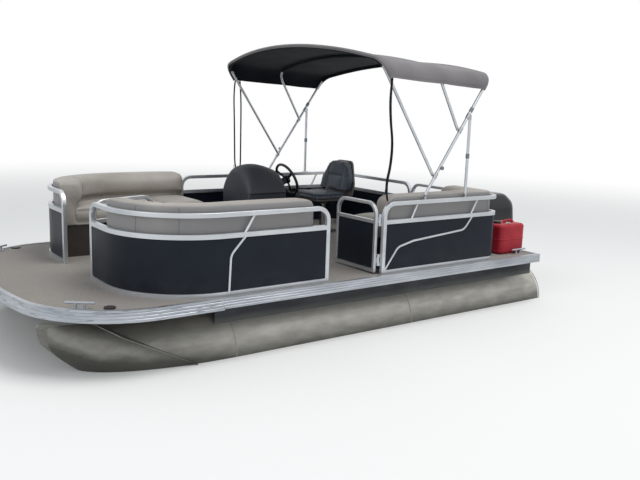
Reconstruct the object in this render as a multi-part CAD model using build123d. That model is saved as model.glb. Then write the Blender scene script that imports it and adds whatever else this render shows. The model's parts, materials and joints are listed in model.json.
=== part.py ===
from build123d import *
import math
import os

# Small pontoon boat afloat, with its bimini raised and its gates open.
# Millimetres. X points to the bow, Y to port, Z up.
# The origin is amidships on the centreline, at the waterline.

# Deck
DECK_LENGTH = 4440
BOW_X = 2200
DECK_BEAM = 2440
DECK_TOP = 440
FLOOR_THICKNESS = 22
BOW_CORNER_RADIUS = 720
BOW_CROWN_ANGLE = 10
BOW_TRIM_HEIGHT = 80
SIDE_TRIM_HEIGHT = 72
TRIM_LIP = 6
TRIM_WEB = 4.2
TRIM_GROOVE = 3
TRIM_JOINT_X = 1010
SEAT_GAP = 0.3

# Hull
TUBE_DIAMETER = 584
TUBE_SPACING = 1700
TUBE_AXIS_Z = 0
TUBE_AFT_X = -2405
NOSE_SEAM_X = 870
NOSE_TIP_X = 2100
BOW_EYE_RADIUS = 9
BOW_EYE_PLATE = 12
STRAKE_AFT = (1140, -15)
STRAKE_FRONT = (1660, 250)
CROSS_MEMBER_HEIGHT = 64
CROSS_MEMBER_COUNT = 11
RISER_FRONT_X = 990
RISER_FOOT_Z = 215
RISER_PLATE = 5

# Fences and gates
FENCE_Y = 1147
FENCE_FRONT_X = 1555
FENCE_CORNER_RADIUS = 575
FENCE_HEIGHT = 560
MID_RAIL_HEIGHT = 405
RAIL = 32
RAIL_CORNER = 4
RAIL_BEND = 90
PANEL_THICKNESS = 4
PANEL_PROUD = 8
STRIP_WIDTH = 14
STRIP_PROUD = 3
STRIP_BEND = 90
# light strips across the panels, as points along X and Z
BOW_STRIP = [(828, 835), (938, 717), (950, 450)]
AFT_STRIP = [(-1358, 835), (-1270, 731), (-700, 682), (-539, 644), (-395, 452)]
STERN_FENCE_X = -1690
STERN_CORNER_RADIUS = 80
BOW_POST_Y = 306
SIDE_GATE_FRONT_X = 140
SIDE_GATE_AFT_X = -400
STARBOARD_BREAK_X = 212
STERN_GATE_PORT_Y = 640
STERN_GATE_STARBOARD_Y = 50
GATE_RAIL = 26
GATE_GAP = 8
GATE_LIFT = 14
HINGE_PIN = 5
HINGE_BARREL = 11
HINGE_KNUCKLE = 40
HINGE_CLEAR = 12
HINGE_HEIGHTS = (DECK_TOP + 110, DECK_TOP + 420)
BOW_GATE_OPEN = 72

# Seating
SEAT_TOP = 400
COUCH_BASE_HEIGHT = 250
COUCH_BACK_HEIGHT = 620
COUCH_BACK_THICKNESS = 165
COUCH_INNER_Y = 500
AFT_COUCH_INNER_Y = 640
COUCH_FENCE_GAP = 8
COUCH_TOE = 20
CUSHION_GAP = 2
COUCH_EDGE = 24
COUCH_ROLL_HEIGHT = 150
COUCH_ROLL_PROUD = 45
COUCH_ROLL_EDGE = 60
BOW_COUCH_AFT_X = 245
AFT_COUCH_FRONT_X = -475

# Helm
CONSOLE_X = -380
CONSOLE_Y = -670
CONSOLE_LENGTH = 480
CONSOLE_WIDTH = 490
CONSOLE_HEIGHT = 710
WHEEL_X = -720
WHEEL_Z = 985
WHEEL_DIAMETER = 340
WHEEL_RIM = 26
WHEEL_RAKE = 25
SHAFT_RADIUS = 12
RUNNING_CLEARANCE = 0.05
CHAIR_X = -1165
CHAIR_Y = -660
CHAIR_POST_RADIUS = 36
CHAIR_PIN_RADIUS = 20
CHAIR_SEAT_HEIGHT = 420
CHAIR_SWIVEL_HEIGHT = 44
CHAIR_BACK_HEIGHT = 720
CHAIR_SHOULDER = 0.4
CHAIR_TAPER = 0.56

# Bimini
BIMINI_TUBE = 24
BIMINI_FOOT = (-810, 1035)
MAIN_BOW_TOP = (-1470, 1985)
# each row: pivot height on the main bow, corner of the bow
BIMINI_BOWS = {"front": (1185, (-310, 2050)), "middle": (1545, (-890, 2010))}
BIMINI_CROWN = 230
BIMINI_CROWN_RADIUS = 4200
BIMINI_CORNER_RADIUS = 130
COLLAR_WALL = 4
STRUT_FOOT_X = -1270
STRUT_TOP_X = -1268
STRUT_TOP_Z = 1630
STRAP_THICKNESS = 3
CANOPY_GAP = 0.7
CANOPY_THICKNESS = 3
CANOPY_DROP = 130

# Outboard
TRANSOM_SETBACK = 300
TRANSOM_TOP = 300
TILT_Z = 335
STEER_SETBACK = 80
PROP_AXIS_Z = -372
PROP_RADIUS = 122
PROP_BLADES = 3

STERN_X = BOW_X - DECK_LENGTH
TRANSOM_X = STERN_X - TRANSOM_SETBACK
STEER_X = TRANSOM_X - STEER_SETBACK
HALF_BEAM = DECK_BEAM / 2
FLOOR_UNDERSIDE = DECK_TOP - FLOOR_THICKNESS
TUBE_RADIUS = TUBE_DIAMETER / 2
TUBE_Y = TUBE_SPACING / 2
RAIL_TOP_Z = DECK_TOP + FENCE_HEIGHT - RAIL / 2
MID_RAIL_Z = DECK_TOP + MID_RAIL_HEIGHT
SIDES = {"port": 1, "starboard": -1}
NODES = {}


def keep(name, shape):
    NODES[name] = shape


def block(x0, x1, y0, y1, z0, z1):
    size = (abs(x1 - x0), abs(y1 - y0), abs(z1 - z0))
    return Pos((x0 + x1) / 2, (y0 + y1) / 2, (z0 + z1) / 2) * Box(*size)


def rod(start, end, radius):
    axis = Vector(end) - Vector(start)
    plane = Plane(origin=start, z_dir=axis)
    return extrude(plane * Circle(radius), amount=axis.length)


def mirrored(shape):
    return mirror(shape, about=Plane.XZ)


def on_side(shape, side):
    return shape if SIDES[side] > 0 else mirrored(shape)


def side_plate(points, y_middle, thickness):
    outline = Plane.XZ * make_face(Polyline(*points, close=True))
    return Pos(0, y_middle + thickness / 2, 0) * extrude(outline, amount=thickness)


def square_tube(points, radii, size, x_dir):
    path = FilletPolyline(*points, radius=radii)
    section = Plane(origin=points[0], x_dir=x_dir, z_dir=path % 0)
    profile = section * RectangleRounded(size, size, RAIL_CORNER)
    return sweep(profile, path=path)


def round_tube(points, radii, radius):
    path = FilletPolyline(*points, radius=radii)
    section = Plane(origin=points[0], z_dir=path % 0)
    return sweep(section * Circle(radius), path=path)


def plan_band(points, radii, width, z, height):
    path = FilletPolyline(*points, radius=radii) if radii else Polyline(*points)
    return Pos(0, 0, z) * extrude(trace(path, line_width=width), amount=height)


# Deck outline: straight sides, round bow corners and a slightly crowned bow
def deck_arcs(inset):
    crown = math.radians(BOW_CROWN_ANGLE)
    centre_y = HALF_BEAM - BOW_CORNER_RADIUS
    reach = centre_y * (1 / math.sin(crown) - 1 / math.tan(crown))
    centre_x = BOW_X - BOW_CORNER_RADIUS - reach
    radius = BOW_CORNER_RADIUS - inset
    middle = (math.pi / 2 + crown) / 2
    places = [
        (centre_x + radius * math.cos(turn), centre_y + radius * math.sin(turn))
        for turn in (math.pi / 2, middle, crown)
    ]
    return places, (BOW_X - inset, 0)


def deck_edge(inset, start_x):
    (side, middle, front), nose = deck_arcs(inset)
    half = HALF_BEAM - inset
    flip = [(x, -y) for x, y in (side, middle, front)]
    return [
        Line((start_x, half), side),
        ThreePointArc(side, middle, front),
        ThreePointArc(front, nose, flip[2]),
        ThreePointArc(flip[2], flip[1], flip[0]),
        Line(flip[0], (start_x, -half)),
    ]


def build_deck():
    inset = TRIM_WEB + SEAT_GAP
    stern = STERN_X + inset
    half = HALF_BEAM - inset
    edges = deck_edge(inset, stern) + [Line((stern, -half), (stern, half))]
    floor = extrude(make_face(edges), amount=FLOOR_THICKNESS)
    keep("deck_floor", Pos(0, 0, FLOOR_UNDERSIDE) * floor)


def trim_section(height):
    low = TRIM_LIP - height
    outer = [(0, TRIM_LIP)]
    grooves = 3
    pitch = (height - 20) / grooves
    for row in range(grooves):
        top = TRIM_LIP - 14 - row * pitch
        outer += [(0, top), (-TRIM_GROOVE, top - 3), (-TRIM_GROOVE, top - 6), (0, top - 9)]
    outer += [(0, low), (-16, low), (-16, low + 3), (-TRIM_WEB - TRIM_GROOVE, low + 3)]
    wall = -TRIM_WEB - TRIM_GROOVE
    ledge = -FLOOR_THICKNESS - SEAT_GAP
    outer += [(wall, ledge), (-TRIM_WEB, ledge), (-TRIM_WEB, SEAT_GAP), (-30, SEAT_GAP), (-30, TRIM_LIP)]
    return make_face(Polyline(*outer, close=True))


def build_trim():
    bow = Plane(origin=(TRIM_JOINT_X, HALF_BEAM, DECK_TOP), x_dir=(0, 1, 0), z_dir=(1, 0, 0))
    path = Pos(0, 0, DECK_TOP) * Wire(deck_edge(0, TRIM_JOINT_X))
    keep("bow_edge_trim", sweep(bow * trim_section(BOW_TRIM_HEIGHT), path=path))
    section = trim_section(SIDE_TRIM_HEIGHT)
    start = Plane(origin=(STERN_X, HALF_BEAM, DECK_TOP), x_dir=(0, 1, 0), z_dir=(1, 0, 0))
    side = extrude(start * section, amount=TRIM_JOINT_X - 1 - STERN_X)
    keep("side_edge_trims", Compound([side, mirrored(side)]))
    half = HALF_BEAM - 31
    aft = Plane(origin=(STERN_X, -half, DECK_TOP), x_dir=(-1, 0, 0), z_dir=(0, 1, 0))
    keep("stern_edge_trim", extrude(aft * section, amount=2 * half))


# Hull
def nose_section(x, top, bottom, half_width):
    plane = Plane(origin=(x, TUBE_Y, 0), x_dir=(0, 1, 0), z_dir=(1, 0, 0))
    middle = (top + bottom) / 2
    left = ThreePointArc((0, top), (half_width, middle), (0, bottom))
    right = ThreePointArc((0, bottom), (-half_width, middle), (0, top))
    return plane * make_face([left, right])


def nose_cone():
    top = TUBE_AXIS_Z + TUBE_RADIUS
    bottom = TUBE_AXIS_Z - TUBE_RADIUS
    # each row: place along X, top and bottom of the section, half width
    rows = [
        (NOSE_SEAM_X, top, bottom, TUBE_RADIUS),
        (NOSE_SEAM_X + 380, top - 2, bottom + 12, TUBE_RADIUS - 26),
        (NOSE_SEAM_X + 810, top, bottom + 175, 168),
        (NOSE_TIP_X - 60, top + 34, bottom + 457, 9),
    ]
    return loft([nose_section(*row) for row in rows])


def bow_eye_plate():
    points = [
        (NOSE_TIP_X - 190, 300),
        (NOSE_TIP_X - 60, 334),
        (NOSE_TIP_X - 8, 336),
        (NOSE_TIP_X + 6, 318),
        (NOSE_TIP_X + 4, 290),
        (NOSE_TIP_X - 22, 204),
        (NOSE_TIP_X - 98, 127),
        (NOSE_TIP_X - 190, 50),
    ]
    plate = side_plate(points, TUBE_Y, BOW_EYE_PLATE)
    bore = rod((NOSE_TIP_X - 30, TUBE_Y - 40, 300), (NOSE_TIP_X - 30, TUBE_Y + 40, 300), BOW_EYE_RADIUS)
    return plate, bore


def pontoon_tube():
    radius = TUBE_RADIUS
    dome = 40
    profile = Polyline(
        (TUBE_AFT_X + dome, 0), (NOSE_SEAM_X - SEAT_GAP, 0), (NOSE_SEAM_X - SEAT_GAP, radius), (TUBE_AFT_X + dome, radius)
    )
    cap = Polyline((TUBE_AFT_X + dome, radius), (TUBE_AFT_X, radius * 0.86), (TUBE_AFT_X, 0), (TUBE_AFT_X + dome, 0))
    face = make_face(profile.edges() + [cap.edges()[0], cap.edges()[1], cap.edges()[2]])
    body = revolve(face, axis=Axis.X)
    return Pos(0, TUBE_Y, TUBE_AXIS_Z) * body


def strake(hull):
    (x_aft, z_aft), (x_front, z_front) = STRAKE_AFT, STRAKE_FRONT
    slope = math.degrees(math.atan2(z_front - z_aft, x_front - x_aft))
    length = math.hypot(z_front - z_aft, x_front - x_aft)
    # each row: distance forward along the slope, distance out from the tube's axis
    outline = [(0, 100), (0, 302), (length, 265), (length + 170, 60), (length, 20)]
    fin = extrude(make_face(Polyline(*outline, close=True)), amount=4)
    return Pos(x_aft, TUBE_Y, z_aft) * Rot(0, -slope, 0) * fin - hull


def riser():
    top = FLOOR_UNDERSIDE - CROSS_MEMBER_HEIGHT - SEAT_GAP
    foot = RISER_FOOT_Z
    half = 192
    length = RISER_FRONT_X - (TUBE_AFT_X + 60)
    outer = block(0, length, -half, half, foot, top)
    inner = block(-1, length + 1, -half + RISER_PLATE, half - RISER_PLATE, foot - 1, top - RISER_PLATE)
    saddle = rod((-1, 0, TUBE_AXIS_Z), (length + 1, 0, TUBE_AXIS_Z), TUBE_RADIUS + SEAT_GAP)
    return Pos(TUBE_AFT_X + 60, TUBE_Y, 0) * (outer - inner - saddle)


def cross_member():
    width = 60
    half = HALF_BEAM - 60
    top = FLOOR_UNDERSIDE - SEAT_GAP
    outer = block(-width / 2, width / 2, -half, half, top - CROSS_MEMBER_HEIGHT + SEAT_GAP, top)
    hollow = block(-width / 2 + 5, width / 2 + 1, -half - 1, half + 1, top - CROSS_MEMBER_HEIGHT + 5, top - 5)
    return outer - hollow


def build_hull():
    cone = nose_cone()
    plate, bore = bow_eye_plate()
    nose = (cone + plate) - bore
    tube = pontoon_tube()
    hull = cone + tube
    fin = strake(hull)
    members = []
    outline = deck_edge(TRIM_LIP + 30, STERN_X)
    outline.append(Line(outline[-1] @ 1, outline[0] @ 0))
    under_deck = extrude(make_face(outline), amount=FLOOR_UNDERSIDE)
    first = STERN_X + 90
    pitch = (RISER_FRONT_X + 700 - first) / (CROSS_MEMBER_COUNT - 1)
    for index in range(CROSS_MEMBER_COUNT):
        members.append(under_deck & (Pos(first + index * pitch, 0, 0) * cross_member()))
    keep("deck_cross_members", Compound(members))
    bracket = riser() - cone
    keep("riser_brackets", Compound([bracket, mirrored(bracket)]))
    keep("spray_strakes", Compound([fin, mirrored(fin)]))
    for side in SIDES:
        keep(side + "_pontoon_tube", on_side(tube, side))
        keep(side + "_nose_cone", on_side(nose, side))


def build_motor_mount():
    floor = FLOOR_UNDERSIDE - CROSS_MEMBER_HEIGHT - SEAT_GAP
    points = [
        (-1500, floor),
        (-1750, -40),
        (TRANSOM_X + 40, -70),
        (TRANSOM_X + 40, TRANSOM_TOP - 110),
        (STERN_X - 120, TRANSOM_TOP - 110),
        (STERN_X + 10, floor),
    ]
    pod = side_plate(points, 0, 420)
    plate = block(TRANSOM_X, TRANSOM_X + 40 - SEAT_GAP, -210, 210, -70, TRANSOM_TOP)
    keep("motor_pod", pod)
    keep("transom_plate", plate)


# Fences: posts and top rail are one bent tube, with a mid and a bottom rail
def fence(name, plan, radii, braces, strip, gates=()):
    base = DECK_TOP + SEAT_GAP
    ends = [(*plan[0], base), *[(x, y, RAIL_TOP_Z) for x, y in plan], (*plan[-1], base)]
    first = (plan[1][0] - plan[0][0], plan[1][1] - plan[0][1], 0)
    frame = square_tube(ends, [RAIL_BEND, *radii, RAIL_BEND], RAIL, first)
    frame += plan_band(plan, radii, RAIL, MID_RAIL_Z - RAIL / 2, RAIL)
    frame += plan_band(plan, radii, RAIL, base, RAIL)
    for x_low, x_high, y in braces:
        low = (x_low, y, MID_RAIL_Z)
        high = (x_high, y, RAIL_TOP_Z)
        frame += rod(low, high, 9)
    for gate in gates:
        frame += hinge_leaves(gate)
    frame += panel_strip(strip, math.copysign(1, plan[0][1]))
    keep(name + "_frame", frame)


def panel_strip(points, side):
    inner = FENCE_Y + PANEL_PROUD + PANEL_THICKNESS / 2 + SEAT_GAP
    outer = FENCE_Y + RAIL / 2 + STRIP_PROUD
    line = FilletPolyline(*points, radius=STRIP_BEND)
    band = Plane.XZ * trace(line, line_width=STRIP_WIDTH)
    strip = Pos(0, outer, 0) * extrude(band, amount=outer - inner)
    return strip if side > 0 else mirrored(strip)


def shortened(plan, cut):
    result = list(plan)
    for end, inner in ((0, 1), (-1, -2)):
        tip = Vector(*plan[end])
        along = (Vector(*plan[inner]) - tip).normalized()
        moved = tip + along * cut
        result[end] = (moved.X, moved.Y)
    return result


def fence_panel(name, plan, radii):
    low = DECK_TOP + SEAT_GAP + RAIL + SEAT_GAP
    high = MID_RAIL_Z - RAIL / 2 - SEAT_GAP
    points = shortened(plan, RAIL / 2 + SEAT_GAP)
    keep(name + "_panel", plan_band(points, radii, PANEL_THICKNESS, low, high - low))


def bow_plan(aft_x, proud, side):
    y = FENCE_Y + proud
    x = FENCE_FRONT_X + proud
    sign = SIDES[side]
    return [(aft_x, sign * y), (x, sign * y), (x, sign * BOW_POST_Y)]


def aft_plan(front_x, inner_y, proud, side):
    y = FENCE_Y + proud
    x = STERN_FENCE_X - proud
    return [(front_x, SIDES[side] * y), (x, SIDES[side] * y), (x, inner_y)]


def build_fences():
    corner = [FENCE_CORNER_RADIUS]
    stern = [STERN_CORNER_RADIUS]
    brace = [(830, 745, FENCE_Y)]
    fence("port_bow_fence", bow_plan(SIDE_GATE_FRONT_X, 0, "port"), corner, brace, BOW_STRIP, ["bow_gate"])
    fence("starboard_bow_fence", bow_plan(STARBOARD_BREAK_X, 0, "starboard"), corner, [(830, 745, -FENCE_Y)], BOW_STRIP)
    aft_braces = [(-675, -745), (-1352, -1430)]
    port = aft_plan(SIDE_GATE_AFT_X, STERN_GATE_PORT_Y, 0, "port")
    starboard = aft_plan(STARBOARD_BREAK_X - RAIL - 6, STERN_GATE_STARBOARD_Y, 0, "starboard")
    port_braces = [(low, high, FENCE_Y) for low, high in aft_braces]
    fence("port_aft_fence", port, stern, port_braces, AFT_STRIP, ["side_gate", "stern_gate"])
    fence("starboard_aft_fence", starboard, stern, [(low, high, -FENCE_Y) for low, high in aft_braces], AFT_STRIP)
    wide = [FENCE_CORNER_RADIUS + PANEL_PROUD]
    close = [STERN_CORNER_RADIUS + PANEL_PROUD]
    fence_panel("port_bow_fence", bow_plan(SIDE_GATE_FRONT_X, PANEL_PROUD, "port"), wide)
    fence_panel("starboard_bow_fence", bow_plan(STARBOARD_BREAK_X, PANEL_PROUD, "starboard"), wide)
    port = aft_plan(SIDE_GATE_AFT_X, STERN_GATE_PORT_Y, PANEL_PROUD, "port")
    starboard = aft_plan(STARBOARD_BREAK_X - RAIL - 6, STERN_GATE_STARBOARD_Y, PANEL_PROUD, "starboard")
    fence_panel("port_aft_fence", port, close)
    fence_panel("starboard_aft_fence", starboard, close)


# Gates: modelled closed along +X from the hinge axis, then placed
def gate_offset():
    return GATE_RAIL / 2 + HINGE_CLEAR


def gate_places():
    reach = RAIL / 2 + GATE_GAP
    offset = gate_offset()
    # each row: hinge axis, width, post centre, closed turn, turn from closed to rest
    return {
        "side_gate": (
            (SIDE_GATE_AFT_X + reach, FENCE_Y - offset),
            SIDE_GATE_FRONT_X - SIDE_GATE_AFT_X - RAIL - 2 * GATE_GAP,
            (SIDE_GATE_AFT_X, FENCE_Y),
            0,
            -90,
        ),
        "bow_gate": (
            (FENCE_FRONT_X - offset, BOW_POST_Y - reach),
            2 * BOW_POST_Y - RAIL - 2 * GATE_GAP,
            (FENCE_FRONT_X, BOW_POST_Y),
            -90,
            -BOW_GATE_OPEN,
        ),
        "stern_gate": (
            (STERN_FENCE_X - offset, STERN_GATE_PORT_Y - reach),
            STERN_GATE_PORT_Y - STERN_GATE_STARBOARD_Y - RAIL - 2 * GATE_GAP,
            (STERN_FENCE_X, STERN_GATE_PORT_Y),
            -90,
            0,
        ),
    }


def gate_shapes(width):
    low = DECK_TOP + GATE_LIFT
    y = gate_offset()
    start = GATE_GAP / 2 + GATE_RAIL / 2
    end = width - GATE_RAIL / 2
    points = [(start, y, low), (start, y, RAIL_TOP_Z), (end, y, RAIL_TOP_Z), (end, y, low)]
    frame = square_tube(points, [RAIL_BEND, RAIL_BEND], GATE_RAIL, (1, 0, 0))
    plan = [(start, y), (end, y)]
    frame += plan_band(plan, None, GATE_RAIL, MID_RAIL_Z - GATE_RAIL / 2, GATE_RAIL)
    frame += plan_band(plan, None, GATE_RAIL, low, GATE_RAIL)
    inset = GATE_RAIL / 2 + SEAT_GAP
    floor = low + GATE_RAIL + SEAT_GAP
    roof = MID_RAIL_Z - GATE_RAIL / 2 - SEAT_GAP
    panel = plan_band([(start + inset, y), (end - inset, y)], None, PANEL_THICKNESS, floor, roof - floor)
    for z in HINGE_HEIGHTS:
        frame += Pos(0, 0, z) * Cylinder(HINGE_BARREL, HINGE_KNUCKLE)
        frame += block(-3, start, 0, HINGE_CLEAR + 3, z - HINGE_KNUCKLE / 2, z + HINGE_KNUCKLE / 2)
        frame -= Pos(0, 0, z) * Cylinder(HINGE_PIN + RUNNING_CLEARANCE, 2 * HINGE_KNUCKLE)
    return frame, panel


def hinge_leaves(name):
    hinge, _, post, _, _ = gate_places()[name]
    reach = HINGE_KNUCKLE / 2 + 1
    height = 24
    leaves = None
    for z in HINGE_HEIGHTS:
        pin = Pos(hinge[0], hinge[1], z) * Cylinder(HINGE_PIN, 2 * (reach + height))
        leaves = pin if leaves is None else leaves + pin
        for end in (-1, 1):
            middle = z + end * (reach + height / 2)
            leaves += Pos(hinge[0], hinge[1], middle) * Cylinder(HINGE_BARREL, height)
            toward = [(h, p + math.copysign(RAIL / 2 - 4, h - p)) for h, p in zip(hinge, post)]
            (x0, x1), (y0, y1) = [sorted(pair) for pair in toward]
            leaves += block(x0, x1, y0, y1, middle - height / 2, middle + height / 2)
    return leaves


def build_gates():
    for name, (hinge, width, _, closed, rest) in gate_places().items():
        frame, panel = gate_shapes(width)
        place = Pos(hinge[0], hinge[1], 0) * Rot(0, 0, closed + rest)
        keep(name + "_frame", place * frame)
        keep(name + "_panel", place * panel)


# Couches: a base, a seat cushion and a back that wraps round the outer corner
def couch_plan(name):
    outer_y = FENCE_Y - RAIL / 2 - COUCH_FENCE_GAP
    if name == "bow":
        front = FENCE_FRONT_X - RAIL / 2 - COUCH_FENCE_GAP
        radius = FENCE_CORNER_RADIUS - RAIL / 2 - COUCH_FENCE_GAP
        return [(BOW_COUCH_AFT_X, outer_y), (front, outer_y), (front, COUCH_INNER_Y)], radius
    aft = STERN_FENCE_X + RAIL / 2 + COUCH_FENCE_GAP
    radius = STERN_CORNER_RADIUS
    return [(AFT_COUCH_FRONT_X, outer_y), (aft, outer_y), (aft, AFT_COUCH_INNER_Y)], radius


def couch_block(name, z, height, start=0, outer=0, inner=0):
    points, radius = couch_plan(name)
    (start_x, outer_y), (end_x, _), (_, inner_y) = points
    toward = math.copysign(1, end_x - start_x)
    x0 = start_x + toward * start
    x1 = end_x - toward * outer
    y0 = inner_y + inner
    y1 = outer_y - outer
    bend = max(radius - outer, COUCH_EDGE)
    middle = bend * math.cos(math.pi / 4)
    cx = x1 - toward * bend
    cy = y1 - bend
    edges = [
        Line((x0, y0), (x0, y1)),
        Line((x0, y1), (cx, y1)),
        ThreePointArc((cx, y1), (cx + toward * middle, cy + middle), (x1, cy)),
        Line((x1, cy), (x1, y0)),
        Line((x1, y0), (x0, y0)),
    ]
    return Pos(0, 0, z) * extrude(make_face(edges), amount=height)


def soft_top(shape, radius):
    return fillet(shape.faces().sort_by(Axis.Z)[-1].edges(), radius)


def couch_roll(name, z, depth, height):
    roll = couch_block(name, z, height)
    roll -= couch_block(name, z - 1, height + 2, -depth, depth, -depth)
    return roll


def build_couch(name, side):
    label = side + "_" + name + "_couch"
    base_z = DECK_TOP + SEAT_GAP
    seat_z = base_z + COUCH_BASE_HEIGHT + SEAT_GAP
    seat_height = DECK_TOP + SEAT_TOP - seat_z
    roll_z = DECK_TOP + COUCH_BACK_HEIGHT - COUCH_ROLL_HEIGHT
    depth = COUCH_BACK_THICKNESS
    base = couch_block(name, base_z, COUCH_BASE_HEIGHT, COUCH_TOE, COUCH_TOE, COUCH_TOE)
    back = couch_roll(name, seat_z, depth - COUCH_ROLL_PROUD, roll_z - seat_z)
    back += soft_top(couch_roll(name, roll_z, depth, COUCH_ROLL_HEIGHT), COUCH_ROLL_EDGE)
    seat = couch_block(name, seat_z, seat_height, 0, depth - COUCH_ROLL_PROUD + CUSHION_GAP, 0)
    keep(label + "_base", on_side(base, side))
    keep(label + "_seat", on_side(soft_top(seat, COUCH_EDGE), side))
    keep(label + "_back", on_side(back, side))


# Helm
def build_console():
    base_z = DECK_TOP + SEAT_GAP
    x0 = CONSOLE_X - CONSOLE_LENGTH / 2
    x1 = CONSOLE_X + CONSOLE_LENGTH / 2
    shoulder = CONSOLE_HEIGHT - 260
    lower = block(x0 + 60, x1, CONSOLE_Y - CONSOLE_WIDTH / 2, CONSOLE_Y + CONSOLE_WIDTH / 2, base_z, base_z + shoulder)
    half = CONSOLE_WIDTH / 2
    rise = CONSOLE_HEIGHT - shoulder
    # each row: place along X, share of the half width and share of the rise
    rows = [(x1, 0.93, 0.78), (x1 - 60, 0.99, 0.95), (x1 - 170, 1, 1), (x0 + 60, 0.98, 0.74)]
    hood = loft([console_arch(x, base_z + shoulder, wide * half, tall * rise) for x, wide, tall in rows], ruled=True)
    console = lower + hood
    axis = wheel_axis()
    hub = Vector(WHEEL_X, CONSOLE_Y, WHEEL_Z)
    tip = hub - axis * 22
    inside = hub - axis * 330
    column = rod(tip, inside, 34)
    console += column
    console -= rod(hub, hub - axis * 150, SHAFT_RADIUS + RUNNING_CLEARANCE)
    keep("helm_console", console)
    box_x = x0 + 60
    lever = block(box_x - 70, box_x - SEAT_GAP, CONSOLE_Y - 250, CONSOLE_Y - 190, base_z + 330, base_z + 430)
    lever += rod((box_x - 40, CONSOLE_Y - 220, base_z + 420), (box_x - 90, CONSOLE_Y - 220, base_z + 540), 9)
    lever += rod((box_x - 90, CONSOLE_Y - 220, base_z + 535), (box_x - 90, CONSOLE_Y - 170, base_z + 535), 14)
    keep("throttle_control", lever)


def console_arch(x, z, half, rise):
    face = make_face([ThreePointArc((-half, 0), (0, rise), (half, 0)), Line((half, 0), (-half, 0))])
    return Plane(origin=(x, CONSOLE_Y, z), x_dir=(0, 1, 0), z_dir=(1, 0, 0)) * face


def wheel_axis():
    rake = math.radians(WHEEL_RAKE)
    return Vector(-math.cos(rake), 0, math.sin(rake))


def build_steering_wheel():
    ring = WHEEL_DIAMETER / 2 - WHEEL_RIM / 2
    plane = Plane(origin=(WHEEL_X, CONSOLE_Y, WHEEL_Z), x_dir=(0, 1, 0), z_dir=wheel_axis())
    wheel = plane * Torus(ring, WHEEL_RIM / 2)
    hub = extrude(Circle(42), amount=24)
    wheel += plane * (Pos(0, 0, -14) * hub)
    for turn in (90, 210, 330):
        spoke = Pos(ring / 2, 0, 0) * Box(ring, 26, 8)
        wheel += plane * (Rot(0, 0, turn) * spoke)
    shaft = extrude(Circle(SHAFT_RADIUS), amount=-130)
    wheel += plane * shaft
    keep("steering_wheel", wheel)


def build_chair():
    base_z = DECK_TOP + SEAT_GAP
    seat_z = DECK_TOP + CHAIR_SEAT_HEIGHT
    spot = Pos(CHAIR_X, CHAIR_Y, 0)
    pedestal = Pos(0, 0, base_z + 6) * Cylinder(150, 12)
    post_top = seat_z - 130
    pedestal += rod((0, 0, base_z), (0, 0, post_top), CHAIR_POST_RADIUS)
    pedestal += rod((0, 0, post_top), (0, 0, post_top + 46), CHAIR_PIN_RADIUS)
    keep("chair_pedestal", spot * pedestal)
    shell_z = post_top + 5
    pan_z = shell_z + CHAIR_SWIVEL_HEIGHT
    swivel = rod((0, 0, shell_z), (0, 0, pan_z), 44)
    swivel -= rod((0, 0, shell_z - 1), (0, 0, pan_z), CHAIR_PIN_RADIUS + RUNNING_CLEARANCE)
    pan = fillet(block(-190, 220, -215, 215, pan_z, pan_z + 16).edges() | Axis.Z, 60)
    top_z = DECK_TOP + CHAIR_BACK_HEIGHT
    lean = (-254 + 174) / (top_z - pan_z)
    front = [(-174 + lean * (z - pan_z), z) for z in (pan_z, top_z)]
    shell = side_plate([(x - 18, z) for x, z in front] + front[::-1], 0, 500)
    pad_low = seat_z + 10
    pad_back = [(-173.7 + lean * (z - pan_z), z) for z in (pad_low, top_z - 4)]
    pad = side_plate(pad_back + [(x + 92, z) for x, z in pad_back[::-1]], 0, 500)
    seat = block(-150, 230, -205, 205, pan_z + 16 + SEAT_GAP, seat_z)
    seat = fillet(seat.edges() | Axis.Z, 50)
    keep("chair_shell", spot * (swivel + pan + (shell & chair_outline(pan_z, top_z, 225))))
    keep("chair_cushions", spot * Compound([soft_top(seat, 30), pad & chair_outline(pad_low, top_z - 4, 218)]))


def chair_outline(low, high, half):
    shoulder = low + CHAIR_SHOULDER * (high - low)
    top = CHAIR_TAPER * half
    points = [(-half, low), (-half, shoulder), (-top, high), (top, high), (half, shoulder), (half, low)]
    edge = FilletPolyline(*points, radius=[90, 70, 70, 90])
    face = make_face(edge.edges() + [Line(edge @ 1, edge @ 0)])
    return Pos(-400, 0, 0) * extrude(Plane.YZ * face, amount=800)


# Bimini: bows are planar tubes whose legs lean in the side planes
def bow_points(foot, corner, half):
    lean = (corner[0] - foot[0]) / (corner[1] - foot[1])
    crown = (corner[0] + lean * BIMINI_CROWN, 0, corner[1] + BIMINI_CROWN)
    return [
        (foot[0], half, foot[1]),
        (corner[0], half, corner[1]),
        crown,
        (corner[0], -half, corner[1]),
        (foot[0], -half, foot[1]),
    ]


def main_bow_x(z):
    lean = (MAIN_BOW_TOP[0] - BIMINI_FOOT[0]) / (MAIN_BOW_TOP[1] - BIMINI_FOOT[1])
    return BIMINI_FOOT[0] + lean * (z - BIMINI_FOOT[1])


def side_bow_half_width():
    return FENCE_Y - BIMINI_TUBE - COLLAR_WALL - 2 * SEAT_GAP


def main_bow():
    radii = [BIMINI_CORNER_RADIUS, BIMINI_CROWN_RADIUS, BIMINI_CORNER_RADIUS]
    return round_tube(bow_points(BIMINI_FOOT, MAIN_BOW_TOP, FENCE_Y), radii, BIMINI_TUBE / 2)


def collar(z):
    low, high = [Vector(main_bow_x(z + dz), FENCE_Y, z + dz) for dz in (-18, 18)]
    return rod(low, high, BIMINI_TUBE / 2 + SEAT_GAP + COLLAR_WALL), rod(low, high, BIMINI_TUBE / 2 + SEAT_GAP)


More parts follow.
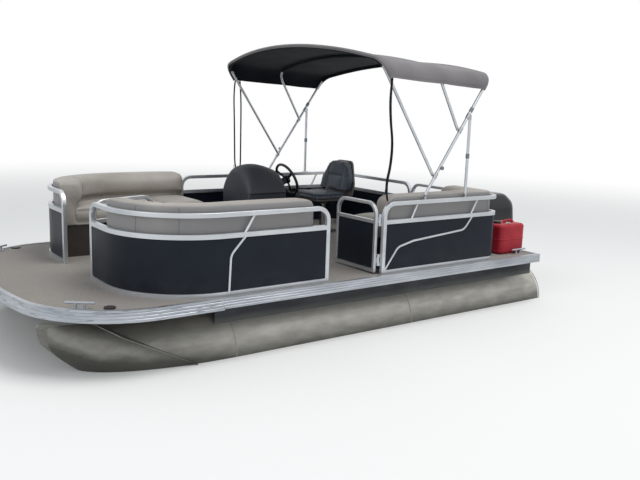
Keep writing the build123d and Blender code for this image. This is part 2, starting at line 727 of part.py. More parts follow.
def build_bimini():
    radii = [BIMINI_CORNER_RADIUS, BIMINI_CROWN_RADIUS, BIMINI_CORNER_RADIUS]
    keep("bimini_main_bow", main_bow())
    fittings = []
    for name, (pivot_z, top) in BIMINI_BOWS.items():
        points = bow_points((main_bow_x(pivot_z), pivot_z), top, side_bow_half_width())
        keep("bimini_" + name + "_bow", round_tube(points, radii, BIMINI_TUBE / 2))
        sleeve, hole = collar(pivot_z)
        fittings.append(sleeve - hole)
    sleeve, hole = collar(STRUT_TOP_Z + 30)
    x = STRUT_TOP_X
    tab = block(x - 12, main_bow_x(STRUT_TOP_Z + 30), FENCE_Y - 6, FENCE_Y + 6, STRUT_TOP_Z + SEAT_GAP, STRUT_TOP_Z + 40)
    fittings.append(sleeve + tab - hole)
    foot_z = RAIL_TOP_Z + RAIL / 2 + SEAT_GAP
    lug_top = BIMINI_FOOT[1] - BIMINI_TUBE / 2 + 5
    strut = rod((STRUT_FOOT_X, FENCE_Y, lug_top + 0.8), (x, FENCE_Y, STRUT_TOP_Z), 12)
    keep("bimini_struts", Compound([strut, mirrored(strut)]))
    for foot_x in (BIMINI_FOOT[0], STRUT_FOOT_X):
        plate = block(foot_x - 32, foot_x + 32, FENCE_Y - 15, FENCE_Y + 15, foot_z, foot_z + 5)
        plate += block(foot_x - 9, foot_x + 9, FENCE_Y - 9, FENCE_Y + 9, foot_z, lug_top)
        fittings.append(plate - main_bow())
    keep("bimini_fittings", Compound(fittings + [mirrored(piece) for piece in fittings]))
    y = side_bow_half_width() + BIMINI_TUBE / 2 + SEAT_GAP + STRAP_THICKNESS / 2
    strap = side_plate([(-492, foot_z), (-464, foot_z), (-416, 1880), (-444, 1880)], y, STRAP_THICKNESS)
    keep("bimini_straps", Compound([strap, mirrored(strap)]))


def canopy_band(foot, corner, drop):
    lean = (corner[0] - foot[0]) / (corner[1] - foot[1])
    stretch = math.hypot(lean, 1)
    plane = Plane(origin=(corner[0], 0, corner[1]), x_dir=(0, 1, 0), z_dir=(1, 0, -lean))
    lines = []
    for offset in (BIMINI_TUBE / 2 + CANOPY_GAP + CANOPY_THICKNESS, BIMINI_TUBE / 2 + CANOPY_GAP):
        half = FENCE_Y + offset
        bend = BIMINI_CORNER_RADIUS + offset
        top = BIMINI_CROWN * stretch + offset
        points = [(half, -drop), (half, offset), (0, top), (-half, offset), (-half, -drop)]
        lines.append(FilletPolyline(*points, radius=[bend, BIMINI_CROWN_RADIUS + offset, bend]))
    outer, inner = lines
    ends = [Line(outer @ 0, inner @ 0), Line(outer @ 1, inner @ 1)]
    return plane * make_face(outer.edges() + inner.edges() + ends)


def build_canopy():
    sections = [canopy_band(BIMINI_FOOT, MAIN_BOW_TOP, CANOPY_DROP)]
    for name in ("middle", "front"):
        pivot_z, top = BIMINI_BOWS[name]
        sections.append(canopy_band((main_bow_x(pivot_z), pivot_z), top, CANOPY_DROP))
    keep("bimini_canopy", loft(sections, ruled=True))


# Outboard
def build_outboard():
    transom_face = TRANSOM_X
    ear = [
        (transom_face - 18, 20),
        (transom_face - 0.3, 20),
        (transom_face - 0.3, TRANSOM_TOP + 0.3),
        (transom_face + 40.3, TRANSOM_TOP + 0.3),
        (transom_face + 40.3, 200),
        (transom_face + 56, 200),
        (transom_face + 56, TRANSOM_TOP + 20),
        (transom_face + 20, TILT_Z + 24),
        (transom_face - 20, TILT_Z + 24),
    ]
    bracket = None
    for side in (-1, 1):
        plate = side_plate(ear, side * 62, 16)
        bracket = plate if bracket is None else bracket + plate
    pin = (transom_face, -70, TILT_Z), (transom_face, 70, TILT_Z)
    bracket += rod(*pin, 11)
    keep("outboard_clamp_bracket", bracket)
    swivel = rod((transom_face, -52, TILT_Z), (transom_face, 52, TILT_Z), 22)
    swivel += block(STEER_X, transom_face - 10, -40, 40, TILT_Z - 14, TILT_Z + 14)
    swivel += rod((STEER_X, 0, 60), (STEER_X, 0, TILT_Z + 14), 32)
    swivel -= rod((transom_face, -60, TILT_Z), (transom_face, 60, TILT_Z), 11 + RUNNING_CLEARANCE)
    swivel -= rod((STEER_X, 0, 50), (STEER_X, 0, TILT_Z + 20), 17)
    keep("outboard_swivel_bracket", swivel)
    top_z = TILT_Z + 14.3
    leg = rod((STEER_X, 0, 30), (STEER_X, 0, top_z + 10), 17 - RUNNING_CLEARANCE)
    leg += block(STEER_X - 150, STEER_X + 30, -34, 34, top_z, top_z + 24)
    leg += block(STEER_X - 150, STEER_X + 30, -30, 30, 30, 59.7)
    column = [
        Plane(origin=(STEER_X - 185, 0, -225.7)) * Ellipse(120, 32),
        Plane(origin=(STEER_X - 195, 0, 380)) * Ellipse(130, 70),
    ]
    leg += loft(column, ruled=True)
    keep("outboard_midsection", leg)
    build_cowl()
    build_lower_unit()


def build_cowl():
    x = STEER_X - 245
    # each row: height, half length, half width, shift forward
    rows = [(400, 300, 165, 0), (560, 322, 184, 0), (740, 312, 176, 10), (842, 235, 125, 20)]
    outer = [Plane(origin=(x + shift, 0, z)) * RectangleRounded(2 * a, 2 * b, 90) for z, a, b, shift in rows]
    inner_rows = [(399, 292, 157, 0), (560, 314, 176, 0), (735, 304, 168, 10), (832, 225, 115, 20)]
    inner = [Plane(origin=(x + shift, 0, z)) * RectangleRounded(2 * a, 2 * b, 82) for z, a, b, shift in inner_rows]
    cowl = loft(outer, ruled=True) - loft(inner, ruled=True)
    keep("outboard_cowl", cowl)
    keep("outboard_powerhead", block(x - 215, x + 205, -115, 115, 400.6, 730))
    tray = Plane(origin=(x, 0, 380.3)) * RectangleRounded(2 * 294, 2 * 160, 84)
    keep("outboard_tray", extrude(tray, amount=19.4))


def build_lower_unit():
    x = STEER_X - 185
    plate_z = -232
    plate = Plane(origin=(x - 40, 0, plate_z)) * RectangleRounded(330, 180, 60)
    unit = extrude(plate, amount=6)
    strut = [
        Plane(origin=(x - 5, 0, plate_z)) * Ellipse(118, 28),
        Plane(origin=(x - 5, 0, PROP_AXIS_Z)) * Ellipse(105, 22),
    ]
    unit += loft(strut, ruled=True)
    body = Polyline((x + 160, 0), (x + 130, 24), (x + 70, 42), (x - 120, 44), (x - 120, 0), close=True)
    bullet = revolve(make_face(body), axis=Axis.X)
    unit += Pos(0, 0, PROP_AXIS_Z) * bullet
    skeg = [(x + 70, PROP_AXIS_Z - 20), (x - 100, PROP_AXIS_Z - 20), (x - 110, PROP_AXIS_Z - 150), (x - 50, PROP_AXIS_Z - 150)]
    unit += side_plate(skeg, 0, 9)
    unit += rod((x - 100, 0, PROP_AXIS_Z), (x - 240, 0, PROP_AXIS_Z), 9)
    keep("outboard_lower_unit", unit)
    hub_front = x - 126
    hub = rod((hub_front, 0, PROP_AXIS_Z), (hub_front - 96, 0, PROP_AXIS_Z), 36)
    for index in range(PROP_BLADES):
        hub += prop_blade(hub_front - 48, index * 360 / PROP_BLADES)
    hub -= rod((hub_front + 1, 0, PROP_AXIS_Z), (hub_front - 100, 0, PROP_AXIS_Z), 9 + RUNNING_CLEARANCE)
    keep("propeller", hub)


def prop_blade(x, turn):
    # each row: radius, chord and pitch angle of the section
    rows = [(28, 70, 58), (75, 96, 40), (PROP_RADIUS, 44, 28)]
    sections = []
    for radius, chord, pitch in rows:
        plane = Plane(origin=(0, 0, radius), x_dir=(1, 0, 0)).rotated((0, 0, pitch))
        sections.append(plane * Rectangle(chord, 5 if radius < 100 else 3))
    blade = loft(sections, ruled=True)
    return Pos(x, 0, PROP_AXIS_Z) * Rot(turn, 0, 0) * blade


# Small gear on the deck
def build_deck_gear():
    def cleat():
        bar = rod((-90, 0, 38), (90, 0, 38), 8)
        for x in (-28, 28):
            bar += rod((x, 0, 0), (x, 0, 36), 9)
        bar += block(-50, 50, -16, 16, 0, 6)
        return Pos(0, 0, DECK_TOP + SEAT_GAP) * bar

    cleats = []
    for x, y, turn in ((1880, 990, -35), (-2090, 1090, 0)):
        piece = Pos(x, y, 0) * Rot(0, 0, turn) * cleat()
        cleats += [piece, mirrored(piece)]
    keep("mooring_cleats", Compound(cleats))
    plug = Pos(1725, 1070, DECK_TOP + SEAT_GAP + 5) * Cylinder(36, 10)
    keep("deck_plugs", Compound([plug, mirrored(plug)]))
    tank = block(-2202, -1868, 815, 1065, DECK_TOP + SEAT_GAP, DECK_TOP + 268)
    tank = fillet(tank.edges(), 28)
    tank += Pos(-1950, 940, DECK_TOP + 275) * Cylinder(38, 24)
    keep("fuel_tank", tank)


def write_parts():
    os.makedirs("parts", exist_ok=True)
    for name, shape in NODES.items():
        export_step(shape, os.path.join("parts", name + ".step"))


build_deck()
build_trim()
build_hull()
build_motor_mount()
build_fences()
build_gates()
for couch_name, couch_side in (("bow", "port"), ("bow", "starboard"), ("aft", "port")):
    build_couch(couch_name, couch_side)
build_console()
build_steering_wheel()
build_chair()
build_bimini()
build_canopy()
build_outboard()
build_deck_gear()
write_parts()
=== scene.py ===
import json
import math

import bmesh
import bpy
import numpy as np
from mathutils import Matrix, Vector


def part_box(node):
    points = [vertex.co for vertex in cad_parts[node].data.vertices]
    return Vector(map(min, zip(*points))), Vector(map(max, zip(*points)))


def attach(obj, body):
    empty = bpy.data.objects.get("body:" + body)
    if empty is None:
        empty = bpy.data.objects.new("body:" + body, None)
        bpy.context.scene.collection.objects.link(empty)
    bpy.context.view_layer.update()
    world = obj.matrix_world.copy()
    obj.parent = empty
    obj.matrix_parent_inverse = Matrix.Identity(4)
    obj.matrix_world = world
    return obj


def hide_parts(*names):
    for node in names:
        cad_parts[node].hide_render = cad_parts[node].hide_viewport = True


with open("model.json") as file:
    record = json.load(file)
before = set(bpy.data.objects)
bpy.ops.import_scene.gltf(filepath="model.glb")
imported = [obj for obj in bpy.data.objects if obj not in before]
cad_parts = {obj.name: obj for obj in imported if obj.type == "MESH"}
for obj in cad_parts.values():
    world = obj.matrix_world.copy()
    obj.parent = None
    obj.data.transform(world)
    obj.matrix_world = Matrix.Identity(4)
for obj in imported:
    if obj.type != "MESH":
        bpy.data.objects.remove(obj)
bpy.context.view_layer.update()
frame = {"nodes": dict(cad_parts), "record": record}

# Small pontoon boat afloat. Metres: X to the bow, Y to port, Z up from the waterline.
SIDES = {"port": 1, "starboard": -1}
DECK_TOP = 0.440
FENCE_Y = 1.147
MID_RAIL_Z = 0.845
RAIL = 0.032
SEAT_TOP_Z = 0.840
FLOOR_HALF = 120
FADE_START, FADE_END = 4.5, 16.0
FAR = 9.0
FLIP = np.array([1, -1, 1])


def linked(name, data):
    made = bpy.data.objects.new(name, data)
    bpy.context.scene.collection.objects.link(made)
    return made


def meshed(name, shape):
    mesh = bpy.data.meshes.new(name)
    shape.to_mesh(mesh)
    shape.free()
    return mesh


# Camera, light and floor
def place_camera():
    eye = Vector((3.3082, 5.3177, 1.6965))
    yaw, pitch, roll = -2.21067337, 0.178924112, -0.0347431528
    ahead = Vector((math.cos(yaw) * math.cos(pitch), math.sin(yaw) * math.cos(pitch), -math.sin(pitch)))
    level = Vector((math.sin(yaw), -math.cos(yaw), 0))
    down = ahead.cross(level)
    right = level * math.cos(roll) + down * math.sin(roll)
    below = down * math.cos(roll) - level * math.sin(roll)
    lens = bpy.data.cameras.new("photo_camera")
    lens.sensor_fit = "HORIZONTAL"
    lens.sensor_width = 36
    lens.lens = 41.589
    lens.clip_end = 500
    camera = linked("photo_camera", lens)
    for row in range(3):
        values = (right[row], -below[row], -ahead[row], eye[row])
        for column, value in enumerate(values):
            camera.matrix_world[row][column] = value
    bpy.context.scene.camera = camera


def soft_lamp(name, place, aim, size, power, colour):
    light = bpy.data.lights.new(name, "AREA")
    light.size = size
    light.energy = power
    light.color = colour
    lamp = linked(name, light)
    lamp.location = place
    lamp.rotation_euler = (Vector(aim) - Vector(place)).to_track_quat("-Z", "Y").to_euler()


def light_scene():
    scene = bpy.context.scene
    scene.view_settings.view_transform = "Standard"
    world = bpy.data.worlds.new("studio")
    scene.world = world
    world.use_nodes = True
    tree = world.node_tree
    tree.nodes.clear()
    path = node(tree, "ShaderNodeLightPath")
    seen = path.outputs["Is Camera Ray"]
    for ray in ("Is Glossy Ray", "Is Transmission Ray"):
        seen = node(tree, "ShaderNodeMath", {0: seen, 1: path.outputs[ray]}, operation="MAXIMUM").outputs[0]
    sky = node(tree, "ShaderNodeBackground", {"Color": (0.93, 0.97, 1, 1), "Strength": 0.62})
    white = node(tree, "ShaderNodeBackground", {"Color": (1, 1, 1, 1), "Strength": 1.0})
    both = node(tree, "ShaderNodeMixShader", {0: seen, 1: sky.outputs[0], 2: white.outputs[0]})
    node(tree, "ShaderNodeOutputWorld", {"Surface": both.outputs[0]})
    soft_lamp("key", (-2.0, 3.2, 9.6), (0, 0, 0.4), 5.5, 540, (1, 0.99, 0.975))
    soft_lamp("bow_fill", (9.0, 3.0, 4.5), (0, 0, 0.5), 4.0, 150, (0.96, 0.98, 1))


def lay_floor():
    mesh = bpy.data.meshes.new("floor")
    corners = [(x * FLOOR_HALF, y * FLOOR_HALF, 0) for x, y in ((-1, -1), (1, -1), (1, 1), (-1, 1))]
    mesh.from_pydata(corners, [], [(0, 1, 2, 3)])
    mesh.materials.append(finish_of("pale studio floor", pale_floor))
    linked("floor", mesh)


def pale_floor(tree):
    # matt paper, which fades to plain white in the distance for the camera
    spot = node(tree, "ShaderNodeTexCoord").outputs["Object"]
    away = node(tree, "ShaderNodeVectorMath", {0: spot}, operation="LENGTH").outputs["Value"]
    reach = {0: away, 1: FADE_START, 2: FADE_END}
    fade = node(tree, "ShaderNodeMapRange", reach, interpolation_type="SMOOTHSTEP").outputs[0]
    seen = node(tree, "ShaderNodeLightPath").outputs["Is Camera Ray"]
    fade = node(tree, "ShaderNodeMath", {0: fade, 1: seen}, operation="MULTIPLY").outputs[0]
    paper = {"Base Color": (*srgb("efefee")[:3], 1), "Roughness": 0.9, "Specular IOR Level": 0.0}
    glow = {"Emission Color": (1, 1, 1, 1), "Emission Strength": fade}
    tones = {0: fade, 6: paper["Base Color"], 7: srgb("000000")}
    tone = node(tree, "ShaderNodeMix", tones, data_type="RGBA").outputs[2]
    return {**paper, **glow, "Base Color": tone}


# Finishes
def srgb(code):
    channels = [int(code[i : i + 2], 16) / 255 for i in (0, 2, 4)]
    linear = [c / 12.92 if c <= 0.04045 else ((c + 0.055) / 1.055) ** 2.4 for c in channels]
    return (*linear, 1)


def node(tree, kind, inputs=None, **settings):
    made = tree.nodes.new(kind)
    for key, value in settings.items():
        setattr(made, key, value)
    for key, value in (inputs or {}).items():
        if isinstance(value, bpy.types.NodeSocket):
            tree.links.new(value, made.inputs[key])
        else:
            made.inputs[key].default_value = value
    return made


def finish_of(name, look):
    made = bpy.data.materials.new(name)
    made.use_nodes = True
    tree = made.node_tree
    tree.nodes.clear()
    shader = node(tree, "ShaderNodeBsdfPrincipled", look(tree))
    node(tree, "ShaderNodeOutputMaterial", {"Surface": shader.outputs[0]})
    return made


def patches(tree, across_mm, low=0.4, high=0.6, stretch=(1, 1, 1), detail=4):
    spot = node(tree, "ShaderNodeTexCoord").outputs["Object"]
    spot = node(tree, "ShaderNodeMapping", {"Vector": spot, "Scale": stretch}).outputs[0]
    cloud = node(tree, "ShaderNodeTexNoise", {"Vector": spot, "Scale": 1000 / across_mm, "Detail": detail})
    return node(tree, "ShaderNodeMapRange", {0: cloud.outputs[0], 1: low, 2: high}).outputs[0]


def worn(tree, light, dark, patch_mm, rough, grain_mm, grain_height, stretch=(1, 1, 1)):
    """Cloudy colour and gloss between two tones, with a fine surface grain."""
    cloud = patches(tree, patch_mm, 0.3, 0.7, stretch)
    tone = node(tree, "ShaderNodeMix", {0: cloud, 6: srgb(light), 7: srgb(dark)}, data_type="RGBA").outputs[2]
    gloss = node(tree, "ShaderNodeMapRange", {0: cloud, 3: rough[0], 4: rough[1]}).outputs[0]
    grain = patches(tree, grain_mm, 0.2, 0.8, stretch, 2)
    bump = node(tree, "ShaderNodeBump", {"Height": grain, "Distance": grain_height / 1000, "Strength": 1})
    return {"Base Color": tone, "Roughness": gloss, "Normal": bump.outputs[0]}


def ramp(tree, low, high, axis=2):
    """0 to 1 from one place to another along an axis: by default, two heights."""
    spot = node(tree, "ShaderNodeTexCoord").outputs["Object"]
    parts = node(tree, "ShaderNodeSeparateXYZ", {0: spot})
    return node(tree, "ShaderNodeMapRange", {0: parts.outputs[axis], 1: low, 2: high}).outputs[0]


def facing_down(tree, start, full):
    """0 to 1 as a surface turns from start to full, both heights of its normal."""
    normal = node(tree, "ShaderNodeNewGeometry").outputs["Normal"]
    parts = node(tree, "ShaderNodeSeparateXYZ", {0: normal})
    return node(tree, "ShaderNodeMapRange", {0: parts.outputs[2], 1: start, 2: full}).outputs[0]


def toned(tree, look, share, code, **metal):
    """A finish with another colour laid over it by share."""
    tones = {0: share, 6: look["Base Color"], 7: srgb(code)}
    tone = node(tree, "ShaderNodeMix", tones, data_type="RGBA").outputs[2]
    return {**look, "Base Color": tone, **metal}


def hull_aluminium(tree):
    # bare sheet left afloat: dull oxide above, and a brown scum that thickens to the waterline, mixed with
    # painted shade:
    # darker near the waterline, on faces turned down and on the nose, as if they faced dark water
    look = worn(tree, "b7b5ae", "a4a29b", 60, (0.38, 0.56), 5, 0.3, (0.4, 1, 1))
    streaks = patches(tree, 42, 0.3, 0.72, (0.35, 1, 1.3), 6)
    # the waterline ramp is real scum and painted shade together; faces turned down and the nose get painted
    # shade only
    scum_and_underside_shade = {0: ramp(tree, 0.13, -0.005), 1: facing_down(tree, 0.1, -0.6)}
    scum_and_shade = node(tree, "ShaderNodeMath", scum_and_underside_shade, operation="MAXIMUM")
    nose_shade = node(tree, "ShaderNodeMath", {0: ramp(tree, 0.8, 1.7, 0), 1: 0.55}, operation="MULTIPLY")
    scum_and_shade = node(tree, "ShaderNodeMath", {0: scum_and_shade.outputs[0], 1: nose_shade.outputs[0]}, operation="ADD")
    scum_and_shade = node(tree, "ShaderNodeMath", {0: streaks, 1: 0.18, 2: scum_and_shade.outputs[0]}, operation="MULTIPLY_ADD")
    scum_and_shade = node(tree, "ShaderNodeMapRange", {0: scum_and_shade.outputs[0], 1: 0.05, 2: 1.1, 4: 0.95}).outputs[0]
    metal = node(tree, "ShaderNodeMapRange", {0: scum_and_shade, 3: 0.5, 4: 0.1}).outputs[0]
    return toned(tree, look, scum_and_shade, "3a3933", Metallic=metal)


def rail_aluminium(tree):
    # satin anodised square tube: even, pale, with a soft highlight
    look = worn(tree, "d3d6da", "bfc3c8", 90, (0.30, 0.42), 1.5, 0.05, (0.3, 0.3, 1))
    return {**look, "Metallic": 0.9}


def edge_aluminium(tree):
    # extruded edge rail: bright ribs, with dark scuffs along them where it meets things, mostly at the bow
    look = worn(tree, "bcc0c6", "9da2a9", 120, (0.34, 0.50), 2, 0.1, (0.3, 0.3, 2))
    scuffs = {0: ramp(tree, 0.55, 1.3, 0), 1: patches(tree, 45, 0.56, 0.72, (0.5, 0.5, 5), 6)}
    scuffed = node(tree, "ShaderNodeMath", scuffs, operation="MULTIPLY").outputs[0]
    return toned(tree, look, scuffed, "5d6065", Metallic=0.85)


def riser_aluminium(tree):
    # folded sheet under the deck: dark oxide, darkened further as painted shade of the deck above, and that
    # painted shade lifts towards its lower edge
    look = worn(tree, "3a3d41", "2e3135", 90, (0.5, 0.7), 4, 0.3, (0.3, 1, 1))
    # painted shade: paler towards the lower edge, away from the deck
    return toned(tree, look, ramp(tree, 0.27, 0.205), "5f605e", Metallic=0.5)


def panel_navy(tree):
    # baked enamel on thin sheet: near-black blue, satin, faintly dusty towards the deck
    look = worn(tree, "121a26", "0e151f", 300, (0.36, 0.48), 40, 0.25)
    low = {0: ramp(tree, 0.60, 0.45), 1: patches(tree, 140, 0.35, 0.8)}
    dust = node(tree, "ShaderNodeMath", low, operation="MULTIPLY").outputs[0]
    return {**toned(tree, look, dust, "2a2e34"), "Specular IOR Level": 0.2}


def weave(tree, scale, operation):
    """The height of a plain weave, from waves along X and along Y."""
    spot = node(tree, "ShaderNodeTexCoord").outputs["Object"]
    threads = {}
    for index, direction in enumerate("XY"):
        waves = {"Vector": spot, "Scale": scale}
        threads[index] = node(tree, "ShaderNodeTexWave", waves, bands_direction=direction).outputs[1]
    return node(tree, "ShaderNodeMath", threads, operation=operation).outputs[0]


def deck_vinyl(tree):
    # woven vinyl: flecked weave, drawn at 9 mm where the real one is 3 mm, and trodden patches
    height = weave(tree, 35, "MULTIPLY")
    bump = node(tree, "ShaderNodeBump", {"Height": height, "Distance": 0.0006, "Strength": 0.8}).outputs[0]
    look = {"Base Color": srgb("96918b"), "Roughness": 0.85, "Normal": bump}
    look = toned(tree, look, patches(tree, 6, 0.35, 0.65, detail=2), "7d7873")
    return toned(tree, look, patches(tree, 420, 0.35, 0.7), "85807c")


def vinyl_hide(tree, light, dark, rough=(0.42, 0.58)):
    """Coated upholstery vinyl with a pebbled hide grain about 4 mm across."""
    spot = node(tree, "ShaderNodeTexCoord").outputs["Object"]
    cells = node(tree, "ShaderNodeTexVoronoi", {"Vector": spot, "Scale": 250}, feature="DISTANCE_TO_EDGE")
    grain = node(tree, "ShaderNodeMapRange", {0: cells.outputs[0], 1: 0.0, 2: 0.25}).outputs[0]
    bump = node(tree, "ShaderNodeBump", {"Height": grain, "Distance": 0.0004, "Strength": 0.6}).outputs[0]
    look = worn(tree, light, dark, 260, rough, 30, 0.4)
    return {**look, "Normal": bump, "Sheen Weight": 0.08}


def seat_vinyl(tree):
    # warm grey marine vinyl, a little chalky from the sun; painted shade greys the faces that look outboard
    # and forward
    look = vinyl_hide(tree, "a49d97", "928c85")
    spot = node(tree, "ShaderNodeTexCoord").outputs["Object"]
    place = node(tree, "ShaderNodeSeparateXYZ", {0: spot}).outputs
    surface = node(tree, "ShaderNodeNewGeometry").outputs["Normal"]
    facing = node(tree, "ShaderNodeSeparateXYZ", {0: surface}).outputs
    # painted shade: faces turned outboard, and the bow couch's forward faces, toned down to a darker grey
    out = node(tree, "ShaderNodeMath", {0: place[1], 1: facing[1]}, operation="MULTIPLY").outputs[0]
    ahead = {0: facing[0], 1: ramp(tree, 0.9, 1.0, 0)}
    ahead = node(tree, "ShaderNodeMath", ahead, operation="MULTIPLY").outputs[0]
    out = node(tree, "ShaderNodeMath", {0: out, 1: ahead}, operation="MAXIMUM").outputs[0]
    out = node(tree, "ShaderNodeMapRange", {0: out, 1: 0.35, 2: 0.85, 4: 0.9}).outputs[0]
    return toned(tree, look, out, "807f80")


def chair_vinyl(tree):
    # the helm chair's dark blue-grey vinyl
    return vinyl_hide(tree, "303d4b", "242f3b")


def canvas_weave(tree, light, dark, sheen=0.2):
    """Acrylic canvas: plain weave drawn at 5 mm where the real one is 1 mm, with sun-bleached patches."""
    height = weave(tree, 63, "ADD")
    bump = node(tree, "ShaderNodeBump", {"Height": height, "Distance": 0.0005, "Strength": 0.5}).outputs[0]
    look = worn(tree, light, dark, 330, (0.8, 0.92), 20, 0.2)
    return {**look, "Normal": bump, "Sheen Weight": sheen, "Sheen Roughness": 0.6, "Specular IOR Level": 0.2}


def canvas_top(tree):
    # the weather side, taupe and bleached
    return canvas_weave(tree, "777375", "646164")


def canvas_in_painted_shade(tree):
    # the underside: the same canvas in painted shade, much darker
    return canvas_weave(tree, "12161d", "0e1117", 0.02)


def webbing_black(tree):
    # polyester webbing with ribs across it
    spot = node(tree, "ShaderNodeTexCoord").outputs["Object"]
    ribs = node(tree, "ShaderNodeTexWave", {"Vector": spot, "Scale": 80}, bands_direction="Z").outputs[1]
    bump = node(tree, "ShaderNodeBump", {"Height": ribs, "Distance": 0.0006, "Strength": 0.8}).outputs[0]
    look = worn(tree, "121316", "0c0d0f", 50, (0.7, 0.85), 4, 0.2)
    return {**look, "Normal": bump, "Specular IOR Level": 0.2}


def tank_red(tree):
    # blow-moulded polyethylene: saturated, slightly translucent red, faintly pebbled
    look = worn(tree, "ae2031", "961928", 160, (0.42, 0.55), 3.5, 0.25)
    depth = {"Subsurface Weight": 0.06, "Subsurface Radius": (0.01, 0.003, 0.002)}
    return {**look, **depth, "Specular IOR Level": 0.3}


FINISHES = {
    "hull_aluminium": ("weathered mill aluminium", hull_aluminium),
    "rail_aluminium": ("satin anodised aluminium", rail_aluminium),
    "edge_aluminium": ("scuffed ribbed extrusion", edge_aluminium),
    "riser_aluminium": ("dark oxidised sheet", riser_aluminium),
    "panel_navy": ("baked navy enamel", panel_navy),
    "deck_vinyl": ("woven vinyl flooring", deck_vinyl),
    "seat_vinyl": ("warm grey marine vinyl", seat_vinyl),
    "chair_vinyl": ("blue-grey chair vinyl", chair_vinyl),
    "canvas": ("taupe acrylic canvas", canvas_top),
    "canvas_in_painted_shade": ("canvas underside in painted shade", canvas_in_painted_shade),
    "webbing": ("black ribbed webbing", webbing_black),
    "tank_red": ("blow-moulded red polyethylene", tank_red),
}
LACQUER = {"Coat Weight": 0.25, "Coat Roughness": 0.08, "Specular IOR Level": 0.3}
CLEAR_LENS = {"Coat Weight": 0.9, "Coat Roughness": 0.03}
FURRY = {"Sheen Weight": 0.3}
MIRROR = {"Metallic": 1.0}
# each row: name, two tones, clouding in mm, roughness, grain size and height in mm, and what else it has
PLAIN_FINISHES = {
    # polyethylene, dark brown with a dusty bloom
    "seat_base": ("rotomoulded brown polyethylene", "39322e", "2b2623", 200, (0.5, 0.65), 3, 0.25, {}),
    # ABS with a fine leather-like texture
    "console_plastic": ("textured charcoal moulding", "343841", "2a2e36", 260, (0.5, 0.62), 2.5, 0.2, {}),
    # rim, grips and knobs
    "control_black": ("soft black polyurethane", "17181a", "101113", 60, (0.4, 0.55), 2, 0.15, {}),
    # smooth dull polypropylene behind the chair's pads
    "chair_shell": ("moulded tan shell", "57524c", "4a4640", 150, (0.45, 0.6), 2.5, 0.15, {}),
    # mirror-like 316 fittings
    "stainless": ("polished stainless fittings", "c9cbcd", "b4b7ba", 40, (0.18, 0.3), 1.5, 0.03, MIRROR),
    # sprayed gloss black-blue under clear lacquer
    "motor_paint": ("lacquered motor cowl", "0b0e14", "080a0f", 220, (0.25, 0.35), 30, 0.06, LACQUER),
    # satin epoxy on cast aluminium
    "motor_casting": ("satin black casting", "202327", "17191c", 90, (0.4, 0.55), 3, 0.2, {"Metallic": 0.2}),
    # rough grey iron, never seen with the cowl on
    "engine_block": ("bare engine casting", "6a6a6a", "4f4f4f", 60, (0.5, 0.7), 3, 0.3, {"Metallic": 0.8}),
    # slightly yellowed moulding
    "fitting_plastic": ("off-white nylon", "d9d8d2", "c4c2bb", 30, (0.4, 0.55), 2, 0.08, {}),
    # welt cord covered in the seats' vinyl, darker than it as painted shade of the seam's crease
    "seam": ("grey vinyl welt", "7f7973", "6e6963", 40, (0.45, 0.6), 3, 0.2, {}),
    # welt cord of the dark chair
    "dark_seam": ("dark vinyl welt", "222831", "1a1f27", 40, (0.45, 0.6), 3, 0.2, {}),
    # deck plugs, satin
    "plug": ("dark brown moulding", "2a2625", "1e1b1a", 30, (0.4, 0.55), 2, 0.1, {}),
    # printed face behind a clear lens
    "dial": ("glazed instrument dial", "141518", "101114", 30, (0.15, 0.22), 3, 0.02, CLEAR_LENS),
    # polyester, a little furry
    "stitch": ("pale bonded thread", "b4aea7", "9c968f", 12, (0.6, 0.75), 1.2, 0.1, FURRY),
    # the canopy's thread, darkened as painted shade, as dark as the cloth in shade
    "canvas_stitch": ("dark bonded thread", "4a484a", "3d3b3e", 12, (0.6, 0.75), 1.2, 0.1, FURRY),
    # as dull as the sheet beside it
    "weld": ("rippled weld metal", "9e9c95", "86847c", 9, (0.45, 0.6), 4, 0.8, {"Metallic": 0.5}),
    # cast and painted clamps of the bimini frame
    "clamp": ("grey cast clamps", "858a92", "6b7078", 20, (0.4, 0.55), 2, 0.2, {"Metallic": 0.4}),
}


LOOK = {key: finish_of(*row) for key, row in FINISHES.items()}
for key, (title, *wear, extra) in PLAIN_FINISHES.items():
    LOOK[key] = finish_of(title, lambda tree: {**worn(tree, *wear), **extra})
# CAD nodes that look otherwise than the record's slot says
OTHER_LOOK = {
    # the cross members under the deck take the riser's painted shade too
    "deck_cross_members": "riser_aluminium",
    "mooring_cleats": "edge_aluminium",
    "bimini_fittings": "stainless",
    "deck_plugs": "plug",
}


def dress_nodes():
    for row in frame["record"]["subparts"]:
        look = LOOK[OTHER_LOOK.get(row["node"], row["material_slot"])]
        part = frame["nodes"][row["node"]]
        if not part.material_slots:
            part.data.materials.append(look)
        for slot in part.material_slots:
            slot.material = look


# Lines and sweeps
def rounded(points, radii, step=0.01):
    """A polyline whose corners are arcs of these radii, as points about step apart on the arcs."""
    points = [Vector(p) for p in points]
    line = [points[0]]
    for before, corner, after, radius in zip(points, points[1:], points[2:], radii):
        back, ahead = (before - corner).normalized(), (after - corner).normalized()
        half = back.angle(ahead) / 2
        centre = corner + (back + ahead).normalized() * (radius / math.sin(half))
        reach = radius / math.tan(half)
        start, end = corner + back * reach - centre, corner + ahead * reach - centre
        turn = math.pi - 2 * half
        pieces = max(2, math.ceil(radius * turn / step))
        for index in range(pieces + 1):
            share = index / pieces * turn
            line.append(centre + (start * math.sin(turn - share) + end * math.sin(share)) / math.sin(turn))
    line.append(points[-1])
    return line


